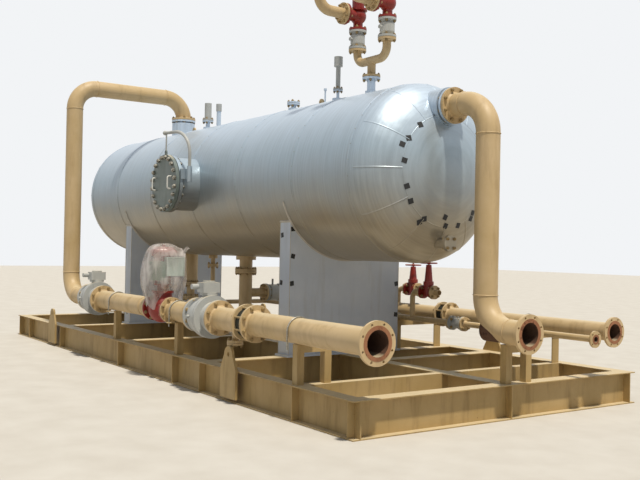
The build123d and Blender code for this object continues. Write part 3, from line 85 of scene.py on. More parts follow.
# %% Camera
CAMERA_PLACE = Vector((9.592, -5.669, 1.447))
CAMERA_YAW = 0.60715
CAMERA_PITCH = 0.0091
CAMERA_ROLL = 0.01949
CAMERA_LENS = 49.01
SENSOR_WIDTH = 36.0
look = Vector((
    -math.cos(CAMERA_YAW) * math.cos(CAMERA_PITCH),
    math.sin(CAMERA_YAW) * math.cos(CAMERA_PITCH),
    math.sin(CAMERA_PITCH),
))
level_right = look.cross(Vector((0, 0, 1))).normalized()
level_up = level_right.cross(look)
right = math.cos(CAMERA_ROLL) * level_right + math.sin(CAMERA_ROLL) * level_up
up = math.cos(CAMERA_ROLL) * level_up - math.sin(CAMERA_ROLL) * level_right
bpy.ops.object.camera_add()
camera = bpy.context.object
camera.name = "photo_camera"
camera.data.lens = CAMERA_LENS
camera.data.sensor_width = SENSOR_WIDTH
camera.data.clip_end = 200.0
camera.matrix_world = Matrix((
    (right.x, up.x, -look.x, CAMERA_PLACE.x),
    (right.y, up.y, -look.y, CAMERA_PLACE.y),
    (right.z, up.z, -look.z, CAMERA_PLACE.z),
    (0, 0, 0, 1),
))
bpy.context.scene.camera = camera
bpy.context.scene.view_settings.view_transform = "Standard"
print("Camera looks along", [round(c, 3) for c in look])

# %% [markdown]
# ## Colour and nodes
# Paint colours are written as sRGB hex, as a colour picker shows them, but the renderer
# works in linear light. One function turns the first into the second. Another adds a node:
# its inputs are given by name, as a number, a colour or the socket that feeds them, and a
# colour ramp gets its stops as pairs of place and colour.

# %% Helpers for colours and nodes
def linear(colour):
    """Turns an sRGB hex colour into the linear RGBA that a socket takes."""
    channels = [int(colour[i:i + 2], 16) / 255 for i in (1, 3, 5)]
    curve = [c / 12.92 if c <= 0.04045 else ((c + 0.055) / 1.055) ** 2.4 for c in channels]
    return (*curve, 1.0)


def add(tree, kind, inputs=None, stops=(), **settings):
    """Adds a node of a kind, with its settings, its inputs and its colour stops."""
    made = tree.nodes.new(kind)
    for key, value in settings.items():
        setattr(made, key, value)
    for key, value in (inputs or {}).items():
        socket = made.inputs[key]
        if isinstance(value, bpy.types.NodeSocket):
            tree.links.new(value, socket)
        else:
            socket.default_value = value
    while len(stops) > 2 and len(made.color_ramp.elements) < len(stops):
        made.color_ramp.elements.new(0.5)
    for index, (place, colour) in enumerate(stops):
        made.color_ramp.elements[index].position = place
        made.color_ramp.elements[index].color = linear(colour)
    return made


def start_material(name):
    """Opens a new material and gives it, its node tree, its shader and its coordinates."""
    made = bpy.data.materials.new(name)
    made.use_nodes = True
    tree = made.node_tree
    shader = tree.nodes["Principled BSDF"]
    coordinates = add(tree, "ShaderNodeTexCoord").outputs["Object"]
    return made, tree, shader, coordinates


# %% [markdown]
# ## Light and floor
# The vessel stands in the open under a sun that is almost overhead, a little in front of
# its open pipe ends, so that what faces up is bright and each beam's web lies in the shade
# of its flange. A studio says the same with one soft sun lamp and an even pale surround. The
# surround shows white to the camera and in reflections, so that bare metal has something
# bright to mirror, while it lights the object at a lower level.

# %% World and sun
SUN_STRENGTH = 3.7
SUN_SOFTNESS = math.radians(3.0)
SUN_DIRECTION = Vector((0.36, -0.04, 0.93))
SURROUND_STRENGTH = 0.33
world = bpy.data.worlds.new("studio")
bpy.context.scene.world = world
world.use_nodes = True
tree = world.node_tree
tree.nodes.clear()
path = add(tree, "ShaderNodeLightPath")
seen = add(tree, "ShaderNodeMath", {0: path.outputs["Is Camera Ray"],
                                    1: path.outputs["Is Glossy Ray"]}, operation="MAXIMUM")
seen = add(tree, "ShaderNodeMath", {0: seen.outputs[0],
                                    1: path.outputs["Is Transmission Ray"]}, operation="MAXIMUM")
surround = add(tree, "ShaderNodeBackground",
               {"Color": linear("#e6eef7"), "Strength": SURROUND_STRENGTH})
backdrop = add(tree, "ShaderNodeBackground", {"Color": linear("#f2f4f6"), "Strength": 1.0})
mixed = add(tree, "ShaderNodeMixShader", {0: seen.outputs[0], 1: surround.outputs[0],
                                          2: backdrop.outputs[0]})
add(tree, "ShaderNodeOutputWorld", {"Surface": mixed.outputs[0]})
bpy.ops.object.light_add(type="SUN", location=(0, 0, 8))
sun = bpy.context.object
sun.data.energy = SUN_STRENGTH
sun.data.angle = SUN_SOFTNESS
sun.data.color = linear("#fff6e6")[:3]
sun.rotation_euler = SUN_DIRECTION.to_track_quat("Z", "Y").to_euler()
print("Sun height in degrees", round(math.degrees(math.asin(SUN_DIRECTION.normalized().z))))

# %% Floor
FLOOR_SIDE = 90.0
FLOOR_GAP = 0.001
bpy.ops.mesh.primitive_plane_add(size=FLOOR_SIDE, location=(0, 0, cad_box[0][2] - FLOOR_GAP))
floor = bpy.context.object
floor.name = "floor"
paving, tree, shader, place = start_material("pale_floor")
shader.inputs["Roughness"].default_value = 0.9
grain = add(tree, "ShaderNodeTexNoise", {"Vector": place, "Scale": 3.0, "Detail": 8.0})
grains = add(tree, "ShaderNodeValToRGB", {"Fac": grain.outputs["Fac"]},
             stops=((0.3, "#c3bfb8"), (0.7, "#ccc9c3")))
tree.links.new(grains.outputs["Color"], shader.inputs["Base Color"])
floor.data.materials.append(paving)

# %% [markdown]
# ## Paint
# Skid, pipes and flanges wear a satin alkyd topcoat, sprayed on in a yard. Up close it has
# orange peel, the bumps a few millimetres across that spraying leaves. From further off the
# eye sees other things: patches where the coat is thinner or bleached, rust at scratches,
# dirt washed down the sides, and a pale colour on what faces up, which is dust and also a
# painted highlight of the sun from above. The rest are noise patterns over the object's own
# coordinates and the pale tops follow the faces' direction, so none of them slides when the
# camera moves.

# %% A sprayed paint
PEEL_MM = 6.0
RUST = "#6a3d20"
DUST_AND_TOP_HIGHLIGHT = "#d6c8a8"
WASHED_DOWN = (9.0, 9.0, 1.3)


def paint(name, coat, bleached, dirt, rust, rust_share, dirt_share, gloss):
    """A sprayed coat of paint with bleached patches, washed-down dirt and rust, and pale
    upward faces that are dust and a painted highlight.
    """
    made, tree, shader, place = start_material(name)
    patches = add(tree, "ShaderNodeTexNoise", {"Vector": place, "Scale": 2.3, "Detail": 6.0,
                                               "Roughness": 0.6})
    coated = add(tree, "ShaderNodeValToRGB", {"Fac": patches.outputs["Fac"]},
                 stops=((0.35, coat), (0.7, bleached)))
    washed = add(tree, "ShaderNodeMapping", {"Vector": place, "Scale": WASHED_DOWN})
    streaks = add(tree, "ShaderNodeTexNoise", {"Vector": washed.outputs[0], "Scale": 1.0,
                                               "Detail": 7.0, "Roughness": 0.62})
    dirty = add(tree, "ShaderNodeMapRange", {"Value": streaks.outputs["Fac"], "From Min": 0.52,
                                             "From Max": 0.78, "To Min": 0.0,
                                             "To Max": dirt_share})
    soiled = add(tree, "ShaderNodeMix", {"Factor": dirty.outputs[0],
                                         "A": coated.outputs["Color"], "B": linear(dirt)},
                 data_type="RGBA")
    scratches = add(tree, "ShaderNodeTexNoise", {"Vector": place, "Scale": 16.0, "Detail": 9.0,
                                                 "Roughness": 0.7, "Lacunarity": 2.2})
    rusted = add(tree, "ShaderNodeMapRange", {"Value": scratches.outputs["Fac"],
                                              "From Min": 1.0 - rust_share,
                                              "From Max": 1.04 - rust_share, "To Min": 0.0,
                                              "To Max": 0.9})
    topped = add(tree, "ShaderNodeMix", {"Factor": rusted.outputs[0],
                                         "A": soiled.outputs["Result"], "B": linear(rust)},
                 data_type="RGBA")
    # Pale colour on upward faces: dust, and also a painted highlight of the sun from above.
    facing = add(tree, "ShaderNodeSeparateXYZ", {
        "Vector": add(tree, "ShaderNodeNewGeometry").outputs["Normal"]})
    upward_dust_and_highlight = add(tree, "ShaderNodeMapRange", {"Value": facing.outputs["Z"], "From Min": 0.75,
                                              "From Max": 1.0, "To Min": 0.0, "To Max": 0.6})
    dusted_and_highlighted = add(tree, "ShaderNodeMix", {"Factor": upward_dust_and_highlight.outputs[0],
                                         "A": topped.outputs["Result"], "B": linear(DUST_AND_TOP_HIGHLIGHT)},
                 data_type="RGBA")
    tree.links.new(dusted_and_highlighted.outputs["Result"], shader.inputs["Base Color"])
    rough = add(tree, "ShaderNodeMapRange", {"Value": streaks.outputs["Fac"], "From Min": 0.3,
                                             "From Max": 0.8, "To Min": gloss,
                                             "To Max": gloss + 0.25})
    tree.links.new(rough.outputs[0], shader.inputs["Roughness"])
    peel = add(tree, "ShaderNodeTexNoise", {"Vector": place, "Scale": 1000.0 / PEEL_MM,
                                            "Detail": 2.0})
    raised = add(tree, "ShaderNodeBump", {"Height": peel.outputs["Fac"], "Strength": 0.12,
                                          "Distance": 0.0006})
    pitted = add(tree, "ShaderNodeBump", {"Height": rusted.outputs[0], "Strength": 0.35,
                                          "Distance": 0.0008, "Normal": raised.outputs[0]},
                 invert=True)
    tree.links.new(pitted.outputs[0], shader.inputs["Normal"])
    return made


# %% [markdown]
# The valves and boxes wear enamels of other colours, and the same function serves for the
# saddle sheet, its sealant and the rust of the open flanges: only colours, shares and gloss
# differ, so all of them stand in one table.

# %% The sprayed surfaces
PAINTS = (
    # name, coat, bleached coat, dirt, rust, share of rust, share of dirt, gloss
    ("beige_alkyd_topcoat", "#b9a074", "#c7af88", "#7d6442", RUST, 0.30, 0.5, 0.42),
    ("beige_alkyd_topcoat_skid", "#a48a58", "#b59b6c", "#6a5435", RUST, 0.33, 0.6, 0.5),
    ("silver_grey_valve_enamel", "#a3a6a6", "#b9bbb8", "#6a6559", RUST, 0.27, 0.45, 0.34),
    ("grey_green_cover_enamel", "#66716f", "#7a8582", "#4f524a", RUST, 0.24, 0.4, 0.36),
    ("oxide_red_valve_enamel", "#7a1a14", "#932a1e", "#451c16", RUST, 0.26, 0.45, 0.32),
    ("overpainted_nuts", "#a48c60", "#8b7650", "#54432b", "#4a3320", 0.42, 0.6, 0.5),
    ("pale_green_instrument_enamel", "#a9bab4", "#b9c8c2", "#7d857d", RUST, 0.22, 0.3, 0.35),
    ("grey_green_instrument_enamel", "#5d7468", "#71877b", "#4d5048", RUST, 0.22, 0.3, 0.4),
    ("grey_saddle_sheet", "#c2cbd8", "#cfd6e0", "#9c978c", "#8d7f6e", 0.2, 0.3, 0.5),
    ("light_grey_sealant", "#b9b3a8", "#c9c5bc", "#9a9182", "#948a7c", 0.2, 0.25, 0.4),
    ("rusted_flange_face", "#8a5a3e", "#9c6c4c", "#4f3222", "#5a3018", 0.45, 0.6, 0.75),
    ("rusted_pipe_bore", "#4a3326", "#5b4030", "#231812", "#3a2012", 0.45, 0.6, 0.85),
)
(paint_beige, paint_skid, paint_grey, paint_cover, paint_red, paint_nuts, paint_pale_box,
 paint_box, saddle_sheet, sealant, rusty, bore_rust) = (paint(*row) for row in PAINTS)
print("Paints", len(PAINTS))

# %% [markdown]
# The manway's cover has a nearly white handle. Both are one CAD part, so the material tells
# them apart: whatever stands further out than HANDLE_START is the handle.

# %% The pale handle of the manway's cover
HANDLE_START = -1.206
cover_tree = paint_cover.node_tree
parted = add(cover_tree, "ShaderNodeSeparateXYZ", {
    "Vector": add(cover_tree, "ShaderNodeTexCoord").outputs["Object"]})
outside = add(cover_tree, "ShaderNodeMath", {0: parted.outputs["Y"], 1: HANDLE_START},
              operation="LESS_THAN")
painted = cover_tree.nodes["Principled BSDF"].inputs["Base Color"]
whitened = add(cover_tree, "ShaderNodeMix", {"Factor": outside.outputs[0],
                                             "A": painted.links[0].from_socket,
                                             "B": linear("#cfd0cc")}, data_type="RGBA")
cover_tree.links.new(whitened.outputs["Result"], painted)

# %% [markdown]
# ## Bare metals and tape
# The cladding is aluminium sheet 0.8 mm thick, rolled bright, which weather turns satin. It
# mirrors sky above and ground below, and it ripples between its laps, so its colour is painted
# by height: a painted reflection of pale blue sky on top, going to brown underneath, which is a
# painted reflection of the ground over a real film of dust. Its bump has long soft waves.
# Screws, U-bolts and the manway's studs are zinc-plated steel, and the wafer check valves
# are bare cast iron. The tape is black cloth, whose threads show as a fine pattern.

# %% Aluminium cladding, plated steel, iron and tape
VESSEL_RADIUS = 0.875
VESSEL_HEIGHT = 2.195
ROLLED_ROUND = (60.0, 2.0, 2.0)
CLOUD_SHIFT = 0.22


def cladding_sheet(name, wave_mm):
    """Weathered aluminium sheet: rolled streaks, soft waves, a painted reflection of sky on top,
    and a painted reflection of brown ground over a film of dust below.
    """
    made, tree, shader, place = start_material(name)
    shader.inputs["Metallic"].default_value = 0.45
    parted = add(tree, "ShaderNodeSeparateXYZ", {"Vector": place})
    height = add(tree, "ShaderNodeMapRange", {
        "Value": parted.outputs["Z"], "From Min": VESSEL_HEIGHT - VESSEL_RADIUS,
        "From Max": VESSEL_HEIGHT + VESSEL_RADIUS})
    cloudy = add(tree, "ShaderNodeTexNoise", {"Vector": place, "Scale": 1.7, "Detail": 7.0,
                                              "Roughness": 0.65})
    shifted = add(tree, "ShaderNodeMath", {0: cloudy.outputs["Fac"], 1: CLOUD_SHIFT,
                                           2: height.outputs[0]}, operation="MULTIPLY_ADD")
    level = add(tree, "ShaderNodeMath", {0: shifted.outputs[0], 1: CLOUD_SHIFT / 2},
                operation="SUBTRACT")
    # Colour by height: a painted reflection of pale sky on top, and of brown ground below, where
    # a film of dust is real too.
    film = add(tree, "ShaderNodeValToRGB", {"Fac": level.outputs[0]},
               stops=((0.0, "#a89e8a"), (0.2, "#a39a88"), (0.4, "#979da0"),
                      (0.62, "#a0b0bc"), (0.88, "#bccbdb")))
    rolled = add(tree, "ShaderNodeMapping", {"Vector": place, "Scale": ROLLED_ROUND})
    streaks = add(tree, "ShaderNodeTexNoise", {"Vector": rolled.outputs[0], "Scale": 1.0,
                                               "Detail": 5.0, "Roughness": 0.6})
    shade = add(tree, "ShaderNodeMapRange", {"Value": streaks.outputs["Fac"], "From Min": 0.3,
                                             "From Max": 0.7, "To Min": 0.86, "To Max": 1.06})
    toned = add(tree, "ShaderNodeMix", {"Factor": 1.0, "A": film.outputs["Color"],
                                        "B": shade.outputs[0]},
                data_type="RGBA", blend_type="MULTIPLY")
    tree.links.new(toned.outputs["Result"], shader.inputs["Base Color"])
    rough = add(tree, "ShaderNodeMapRange", {"Value": cloudy.outputs["Fac"], "From Min": 0.3,
                                             "From Max": 0.7, "To Min": 0.3, "To Max": 0.46})
    tree.links.new(rough.outputs[0], shader.inputs["Roughness"])
    waves = add(tree, "ShaderNodeTexNoise", {"Vector": place, "Scale": 1000.0 / wave_mm,
                                             "Detail": 2.0})
    rippled = add(tree, "ShaderNodeBump", {"Height": waves.outputs["Fac"], "Strength": 0.35,
                                           "Distance": 0.012})
    fine = add(tree, "ShaderNodeBump", {"Height": streaks.outputs["Fac"], "Strength": 0.15,
                                        "Distance": 0.001, "Normal": rippled.outputs[0]})
    tree.links.new(fine.outputs[0], shader.inputs["Normal"])
    return made


def bare_metal(name, clean, dull, rough_low, rough_high, grit_mm, depth):
    """Plain metal with dull and clean patches and a grit of a given size."""
    made, tree, shader, place = start_material(name)
    shader.inputs["Metallic"].default_value = 1.0
    grit = add(tree, "ShaderNodeTexNoise", {"Vector": place, "Scale": 1000.0 / grit_mm,
                                            "Detail": 4.0})
    worn = add(tree, "ShaderNodeValToRGB", {"Fac": grit.outputs["Fac"]},
               stops=((0.35, dull), (0.65, clean)))
    tree.links.new(worn.outputs["Color"], shader.inputs["Base Color"])
    rough = add(tree, "ShaderNodeMapRange", {"Value": grit.outputs["Fac"], "To Min": rough_low,
                                             "To Max": rough_high})
    tree.links.new(rough.outputs[0], shader.inputs["Roughness"])
    bump = add(tree, "ShaderNodeBump", {"Height": grit.outputs["Fac"], "Strength": 0.4,
                                        "Distance": depth})
    tree.links.new(bump.outputs[0], shader.inputs["Normal"])
    return made


cladding = cladding_sheet("weathered_aluminium_cladding", 420.0)
head_cladding = cladding_sheet("puckered_aluminium_cladding", 170.0)
plated = bare_metal("zinc_plated_steel", "#a9a79f", "#7d776a", 0.35, 0.6, 8.0, 0.0003)
cast_iron = bare_metal("sand_cast_iron", "#4f514c", "#33352f", 0.55, 0.75, 5.0, 0.0008)
tape, tree, shader, place = start_material("black_cloth_tape")
threads = add(tree, "ShaderNodeTexNoise", {"Vector": place, "Scale": 400.0, "Detail": 3.0})
woven = add(tree, "ShaderNodeValToRGB", {"Fac": threads.outputs["Fac"]},
            stops=((0.3, "#141517"), (0.7, "#26282b")))
tree.links.new(woven.outputs["Color"], shader.inputs["Base Color"])
shader.inputs["Roughness"].default_value = 0.6

# %% Finish of every CAD part
FINISHES = {
    paint_skid: ("skid_side_beams", "skid_end_beams", "skid_stringer", "skid_cross_beams",
                 "web_stiffeners", "lifting_padeyes", "support_posts", "support_frames"),
    cladding: ("vessel_shell", "manway_neck", "top_nozzle_rear", "relief_nozzle",
               "head_nozzle", "head_drain_nozzle", "small_top_nozzles"),
    head_cladding: ("head_front", "head_rear"),
    saddle_sheet: ("saddles",),
    paint_grey: ("ball_valves_8in", "ball_valves_small", "relief_ball_valves",
                 "top_instruments", "manway_davit"),
    paint_cover: ("manway_cover",),
    paint_red: ("control_valve_body", "control_valve_actuator", "relief_valves", "gate_valves",
                "handwheel_6in_branch", "handwheel_2in_branch"),
    cast_iron: ("check_valves",),
    paint_box: ("positioner",),
    plated: ("u_bolts",),
}
finish_of = {part: finish for finish, parts in FINISHES.items() for part in parts}
for part in frame["nodes"]:
    surface = finish_of.get(part, paint_beige)
    solid = bpy.data.objects[part]
    solid.data.materials.clear()
    solid.data.materials.append(surface)
print("Finished parts", len(frame["nodes"]))

# %% [markdown]
# ## Working by hand, in code
# The next pieces are modelled as one would with the mouse: add a primitive, go into edit
# mode, select faces by where they are, and shape them with an operator. A few helpers keep
# that short. They pick one object, add a primitive, select faces by a test on their centre
# and normal, cut a mesh along a plane, chamfer the ends of a bar, give a surface a wall,
# copy a template with a mesh of its own, and join copies into a single piece.

# %% Helpers for modelling
END_FACING = 0.9


def pick(thing):
    """Selects one object alone and makes it the active one."""
    bpy.ops.object.select_all(action="DESELECT")
    thing.select_set(True)
    bpy.context.view_layer.objects.active = thing
    return thing


def settle(thing):
    """Moves an object's place into its mesh, so that the object lies at the origin."""
    pick(thing)
    bpy.ops.object.transform_apply(location=True, rotation=True, scale=True)
    return thing


def primitive(operator, **settings):
    """Adds a primitive while nothing else is selected, and gives the new object."""
    bpy.ops.object.select_all(action="DESELECT")
    operator(**settings)
    return bpy.context.object


def select_faces(thing, test):
    """In edit mode, selects the faces whose centre and normal pass a test."""
    bpy.ops.mesh.select_mode(type="FACE")
    bpy.ops.mesh.select_all(action="DESELECT")
    shape = bmesh.from_edit_mesh(thing.data)
    for face in shape.faces:
        face.select_set(test(face.calc_center_median(), face.normal))
    bmesh.update_edit_mesh(thing.data)


def cut(place, normal, **settings):
    """In edit mode, cuts the whole mesh along a plane."""
    bpy.ops.mesh.select_all(action="SELECT")
    bpy.ops.mesh.bisect(plane_co=place, plane_no=normal, **settings)


def chamfer(bar, offset, segments=1):
    """Bevels the edges round the two ends of a bar that stands along Z."""
    bpy.ops.object.mode_set(mode="EDIT")
    select_faces(bar, lambda centre, normal: abs(normal.z) > END_FACING)
    bpy.ops.mesh.bevel(offset=offset, segments=segments, affect="EDGES")
    bpy.ops.object.mode_set(mode="OBJECT")
    return bar


def thicken(sheet, thickness, offset=-1.0):
    """Gives a surface a wall of a thickness, on the side that the offset names."""
    wall = sheet.modifiers.new("wall", "SOLIDIFY")
    wall.thickness = thickness
    wall.offset = offset
    pick(sheet)
    bpy.ops.object.modifier_apply(modifier="wall")
    return sheet


def copy_of(template, turn):
    """A copy of a template with its own mesh, put at a place by a matrix."""
    mesh = template.data.copy()
    mesh.transform(turn)
    twin = bpy.data.objects.new(template.name, mesh)
    bpy.context.scene.collection.objects.link(twin)
    return twin


def join(parts, name):
    """Joins objects into one piece with a name."""
    bpy.ops.object.select_all(action="DESELECT")
    for part in parts:
        part.select_set(True)
    bpy.context.view_layer.objects.active = parts[0]
    if len(parts) > 1:
        bpy.ops.object.join()
    whole = bpy.context.view_layer.objects.active
    whole.name = name
    whole.data.name = name
    return whole


def finish(piece, surface, body, record_slot=None, smooth_degrees=30.0):
    """Gives a piece its surface, its body and its soft shading."""
    pick(piece)
    bpy.ops.object.shade_smooth_by_angle(angle=math.radians(smooth_degrees))
    piece.data.materials.clear()
    piece.data.materials.append(surface)
    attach(piece, body)
    return piece


def point_at(axis, centre):
    """The matrix that stands a template, made along Z, on a point along an axis."""
    turn = Vector(axis).to_track_quat("Z", "Y").to_matrix().to_4x4()
    return Matrix.Translation(Vector(centre)) @ turn


ROOT = "skid_and_vessel"
DOOR = "manway_door"

# %% [markdown]
# ## Studs and nuts
# Every flanged joint is pulled together by studs with a heavy hex nut on each end, in a
# circle that straddles the pipe's centre lines. One stud with its two nuts is modelled for
# each size: a six-sided cylinder whose end edges are bevelled is a nut, and a thin cylinder
# with bevelled ends is the stud. Copies of it go round each joint and become one piece.

# %% One stud with its nuts
MM = 0.001
STUD_SIZES = {
    # pipe size: bolt circle, count, stud, nut across flats, nut height, flange thickness
    "8in": (298.5, 8, 19.05, 31.75, 19.0, 28.4),
    "6in": (241.3, 8, 19.05, 31.75, 19.0, 25.4),
    "4in": (190.5, 8, 15.88, 27.0, 16.0, 23.9),
    "3in": (152.4, 4, 15.88, 27.0, 16.0, 23.9),
    "2in": (120.7, 4, 15.88, 27.0, 16.0, 19.1),
    "1in": (79.4, 4, 12.7, 22.2, 12.7, 14.3),
    "20in": (635.0, 20, 28.6, 46.0, 28.0, 42.9),
}
STUD_REACH = 9.0
SEAT = 0.3
CHAMFER = 0.12


def hex_nut(across_flats, height):
    """A heavy hex nut with chamfered corners, standing on the origin."""
    nut = settle(primitive(bpy.ops.mesh.primitive_cylinder_add, vertices=6,
                           radius=across_flats / math.sqrt(3) * MM, depth=height * MM,
                           location=(0, 0, height * MM / 2)))
    return chamfer(nut, height * MM * CHAMFER)


def stud(diameter, low, high):
    """A stud along Z between two heights, with chamfered ends."""
    bar = settle(primitive(bpy.ops.mesh.primitive_cylinder_add, vertices=12,
                           radius=diameter / 2 * MM, depth=(high - low) * MM,
                           location=(0, 0, (low + high) / 2 * MM)))
    return chamfer(bar, diameter * MM * CHAMFER)


def bolt_circle(name, size, centre, axis, near=None, far=None, sides=(-1, 1), body=ROOT):
    """Studs and nuts round a joint: near and far are the seats behind and before the plane."""
    pcd, count, diameter, flats, height, thickness = STUD_SIZES[size]
    near = thickness + SEAT if near is None else near
    far = thickness + SEAT if far is None else far
    low = -(near + height + STUD_REACH) if -1 in sides else far
    high = far + height + STUD_REACH if 1 in sides else -near
    made = [stud(diameter, low, high)]
    for side, foot in ((1, far), (-1, -(near + height))):
        if side in sides:
            made.append(hex_nut(flats, height))
            made[-1].data.transform(Matrix.Translation((0, 0, foot * MM)))
    one = join(made, name + "_one")
    stand = point_at(axis, [c * MM for c in centre])
    ring = []
    for index in range(count):
        angle = math.radians(360.0 / count * (index + 0.5))
        round_it = Matrix.Rotation(angle, 4, "Z")
        twist = Matrix.Rotation(random.uniform(0, math.pi / 3), 4, "Z")
        out = Matrix.Translation((pcd / 2 * MM, 0, 0))
        ring.append(copy_of(one, stand @ round_it @ out @ twist))
    bpy.data.objects.remove(one)
    overpainted = not name.startswith("manway")
    return finish(join(ring, name), paint_nuts if overpainted else plated, body,
                  "beige_paint" if overpainted else "plated_steel")


random.seed(20)
print("Stud sizes", sorted(STUD_SIZES))

# %% Bolt circles of the 8 inch pipe
LEFT_Y = -1640.0
LINE_Z = 749.55
bolt_circle("bolts_gas_nozzle", "8in", (-2170, 0, 3290), (0, 0, 1))
for number, x in enumerate((-1428.5, -971.5, 1651.5, 2108.5), 1):
    bolt_circle(f"bolts_left_line_{number}", "8in", (x, LEFT_Y, LINE_Z), (1, 0, 0))
bolt_circle("bolts_head_nozzle", "8in", (3590, 0, 2806), (1, 0, 0))
bolt_circle("bolts_check_valve_8in", "8in", (2730, LEFT_Y, LINE_Z), (1, 0, 0), 92.2, 92.2)

# %% Bolt circles of the 6, 4 and 3 inch pipe
for number, x in enumerate((579.5, 1030.5), 1):
    bolt_circle(f"bolts_control_valve_{number}", "6in", (x, LEFT_Y, LINE_Z), (1, 0, 0))
bolt_circle("bolts_check_valve_6in", "6in", (2330, 1138, 724.15), (1, 0, 0), 74.7, 74.7)
bolt_circle("bolts_drop_top", "6in", (-240, 0, 1130), (0, 0, 1))
bolt_circle("bolts_drop_foot", "6in", (-240, 0, 500), (0, 0, -1), None, 27.3)
for number, y in enumerate((295.5, 524.5), 1):
    bolt_circle(f"bolts_liquid_ball_{number}", "4in", (-240, y, 850), (0, 1, 0))
bolt_circle("bolts_rear_drop_top", "4in", (-1820, 0, 900), (0, 0, 1))
bolt_circle("bolts_rear_drop_foot", "4in", (-1820, 0, 700), (0, 0, -1), None, 25.8)
for number, (x, z) in enumerate(((2072, 3959.6), (2575, 3994.6)), 1):
    bolt_circle(f"bolts_relief_outlet_{number}", "4in", (x, -190, z), (0, -1, 0))
for number, (x, z) in enumerate(((2325, 3260), (2072, 3600), (2575, 3635), (2072, 3803.3),
                                 (2575, 3838.3)), 1):
    bolt_circle(f"bolts_relief_tree_{number}", "3in", (x, 0, z), (0, 0, 1))

# %% Bolt circles of the 2 and 1 inch pipe
for number, (x, y, z, axis, far) in enumerate((
        (820, 0, 3170, (0, 0, 1), 21.0), (-1390, 0, 3205, (0, 0, 1), 21.0),
        (2430, LEFT_Y, 545, (0, 0, -1), 21.0), (-1150, 0, 1180, (0, 0, 1), None),
        (3560, 0, 1512, (1, 0, 0), 21.0), (2706, 869, 670.15, (1, 0, 0), None),
        (2884, 869, 670.15, (1, 0, 0), None), (1653, 1138, 980, (1, 0, 0), None),
        (1831, 1138, 980, (1, 0, 0), None), (2226, 869, 980, (1, 0, 0), None),
        (2404, 869, 980, (1, 0, 0), None)), 1):
    bolt_circle(f"bolts_2in_{number}", "2in", (x, y, z), axis, None, far)
bolt_circle("bolts_gauge", "1in", (1725, 0, 3210), (0, 0, 1), None, 16.0)
bolt_circle("manway_nuts_back", "20in", (-190, -1109.1, 2195), (0, -1, 0), 0.3, 0.0, (-1,))
bolt_circle("manway_nuts_front", "20in", (-190, -1199.9, 2195), (0, -1, 0), 0.0, 0.3, (1,),
            DOOR)
circles = [o for o in bpy.data.objects if "bolts" in o.name or "nuts" in o.name]
print("Bolt circles", len(circles))

# %% [markdown]
# ## Weld beads
# Elbows, reducers and flange hubs are butt-welded to the pipe. The weld stands a few
# millimetres proud as a ring with an uneven crest. A torus set on the pipe's surface is the
# start, and pushing its points about at random by a fraction of a millimetre gives the
# uneven crest.

# %% Weld beads
BEAD_RADIUS = 5.0
BEAD_SINK = 2.2
CREST_SHAKE = 0.0006
PIPE_RADII = {"8in": 109.55, "6in": 84.15, "4in": 57.15, "2in": 30.15}


def weld_bead(pipe_radius, centre, axis):
    """A weld ring round a pipe, with an uneven crest."""
    middle = pipe_radius + BEAD_RADIUS - BEAD_SINK * 2
    bead = primitive(bpy.ops.mesh.primitive_torus_add, major_segments=72, minor_segments=8,
                     major_radius=middle * MM, minor_radius=BEAD_RADIUS * MM)
    bpy.ops.object.mode_set(mode="EDIT")
    bpy.ops.mesh.select_all(action="SELECT")
    bpy.ops.transform.vertex_random(offset=CREST_SHAKE, seed=7, normal=0.5)
    bpy.ops.object.mode_set(mode="OBJECT")
    bead.data.transform(point_at(axis, [c * MM for c in centre]))
    return bead


ELBOW_WELDS = (
    ("8in", (-2170, 0, 3296), (0, 0, 1)), ("8in", (-2170, -305, 3600), (0, 1, 0)),
    ("8in", (-2170, -1335, 3600), (0, 1, 0)), ("8in", (-2170, -1640, 3295), (0, 0, 1)),
    ("8in", (-2170, -1640, 1054.5), (0, 0, 1)), ("8in", (-1865, -1640, LINE_Z), (1, 0, 0)),
    ("8in", (3735, 0, 2806), (1, 0, 0)), ("8in", (4040, 0, 2501), (0, 0, 1)),
    ("8in", (4040, 0, 1054.5), (0, 0, 1)), ("8in", (4345, 0, LINE_Z), (1, 0, 0)),
    ("8in", (388, LEFT_Y, LINE_Z), (1, 0, 0)), ("6in", (540, LEFT_Y, LINE_Z), (1, 0, 0)),
    ("6in", (1070, LEFT_Y, LINE_Z), (1, 0, 0)), ("8in", (1222, LEFT_Y, LINE_Z), (1, 0, 0)),
)
beads = [weld_bead(PIPE_RADII[size], centre, axis) for size, centre, axis in ELBOW_WELDS]
finish(join(beads, "weld_beads_8in"), paint_beige, ROOT, "beige_paint", 60.0)

# %% [markdown]
# ## Cladding laps and screws
# The cladding is put on in sheets about 1.2 m wide that wrap round the vessel. Each sheet
# laps over its neighbour by 50 mm, with a rolled swage near the edge and a row of screws.
# A short open cylinder, a little wider than the vessel, is the lap. Three cuts run round
# it, the middle one is widened into the swage, and Solidify gives the band its wall.

# %% Laps round the barrel
LAP_PLACES = (-3.48, -2.50, -1.34, -0.18, 0.98, 2.14, 3.10)
LAP_WIDTH = 0.05
LAP_RISE = 0.0014
SWAGE_HALF = 0.006
SWAGE_RISE = 0.004


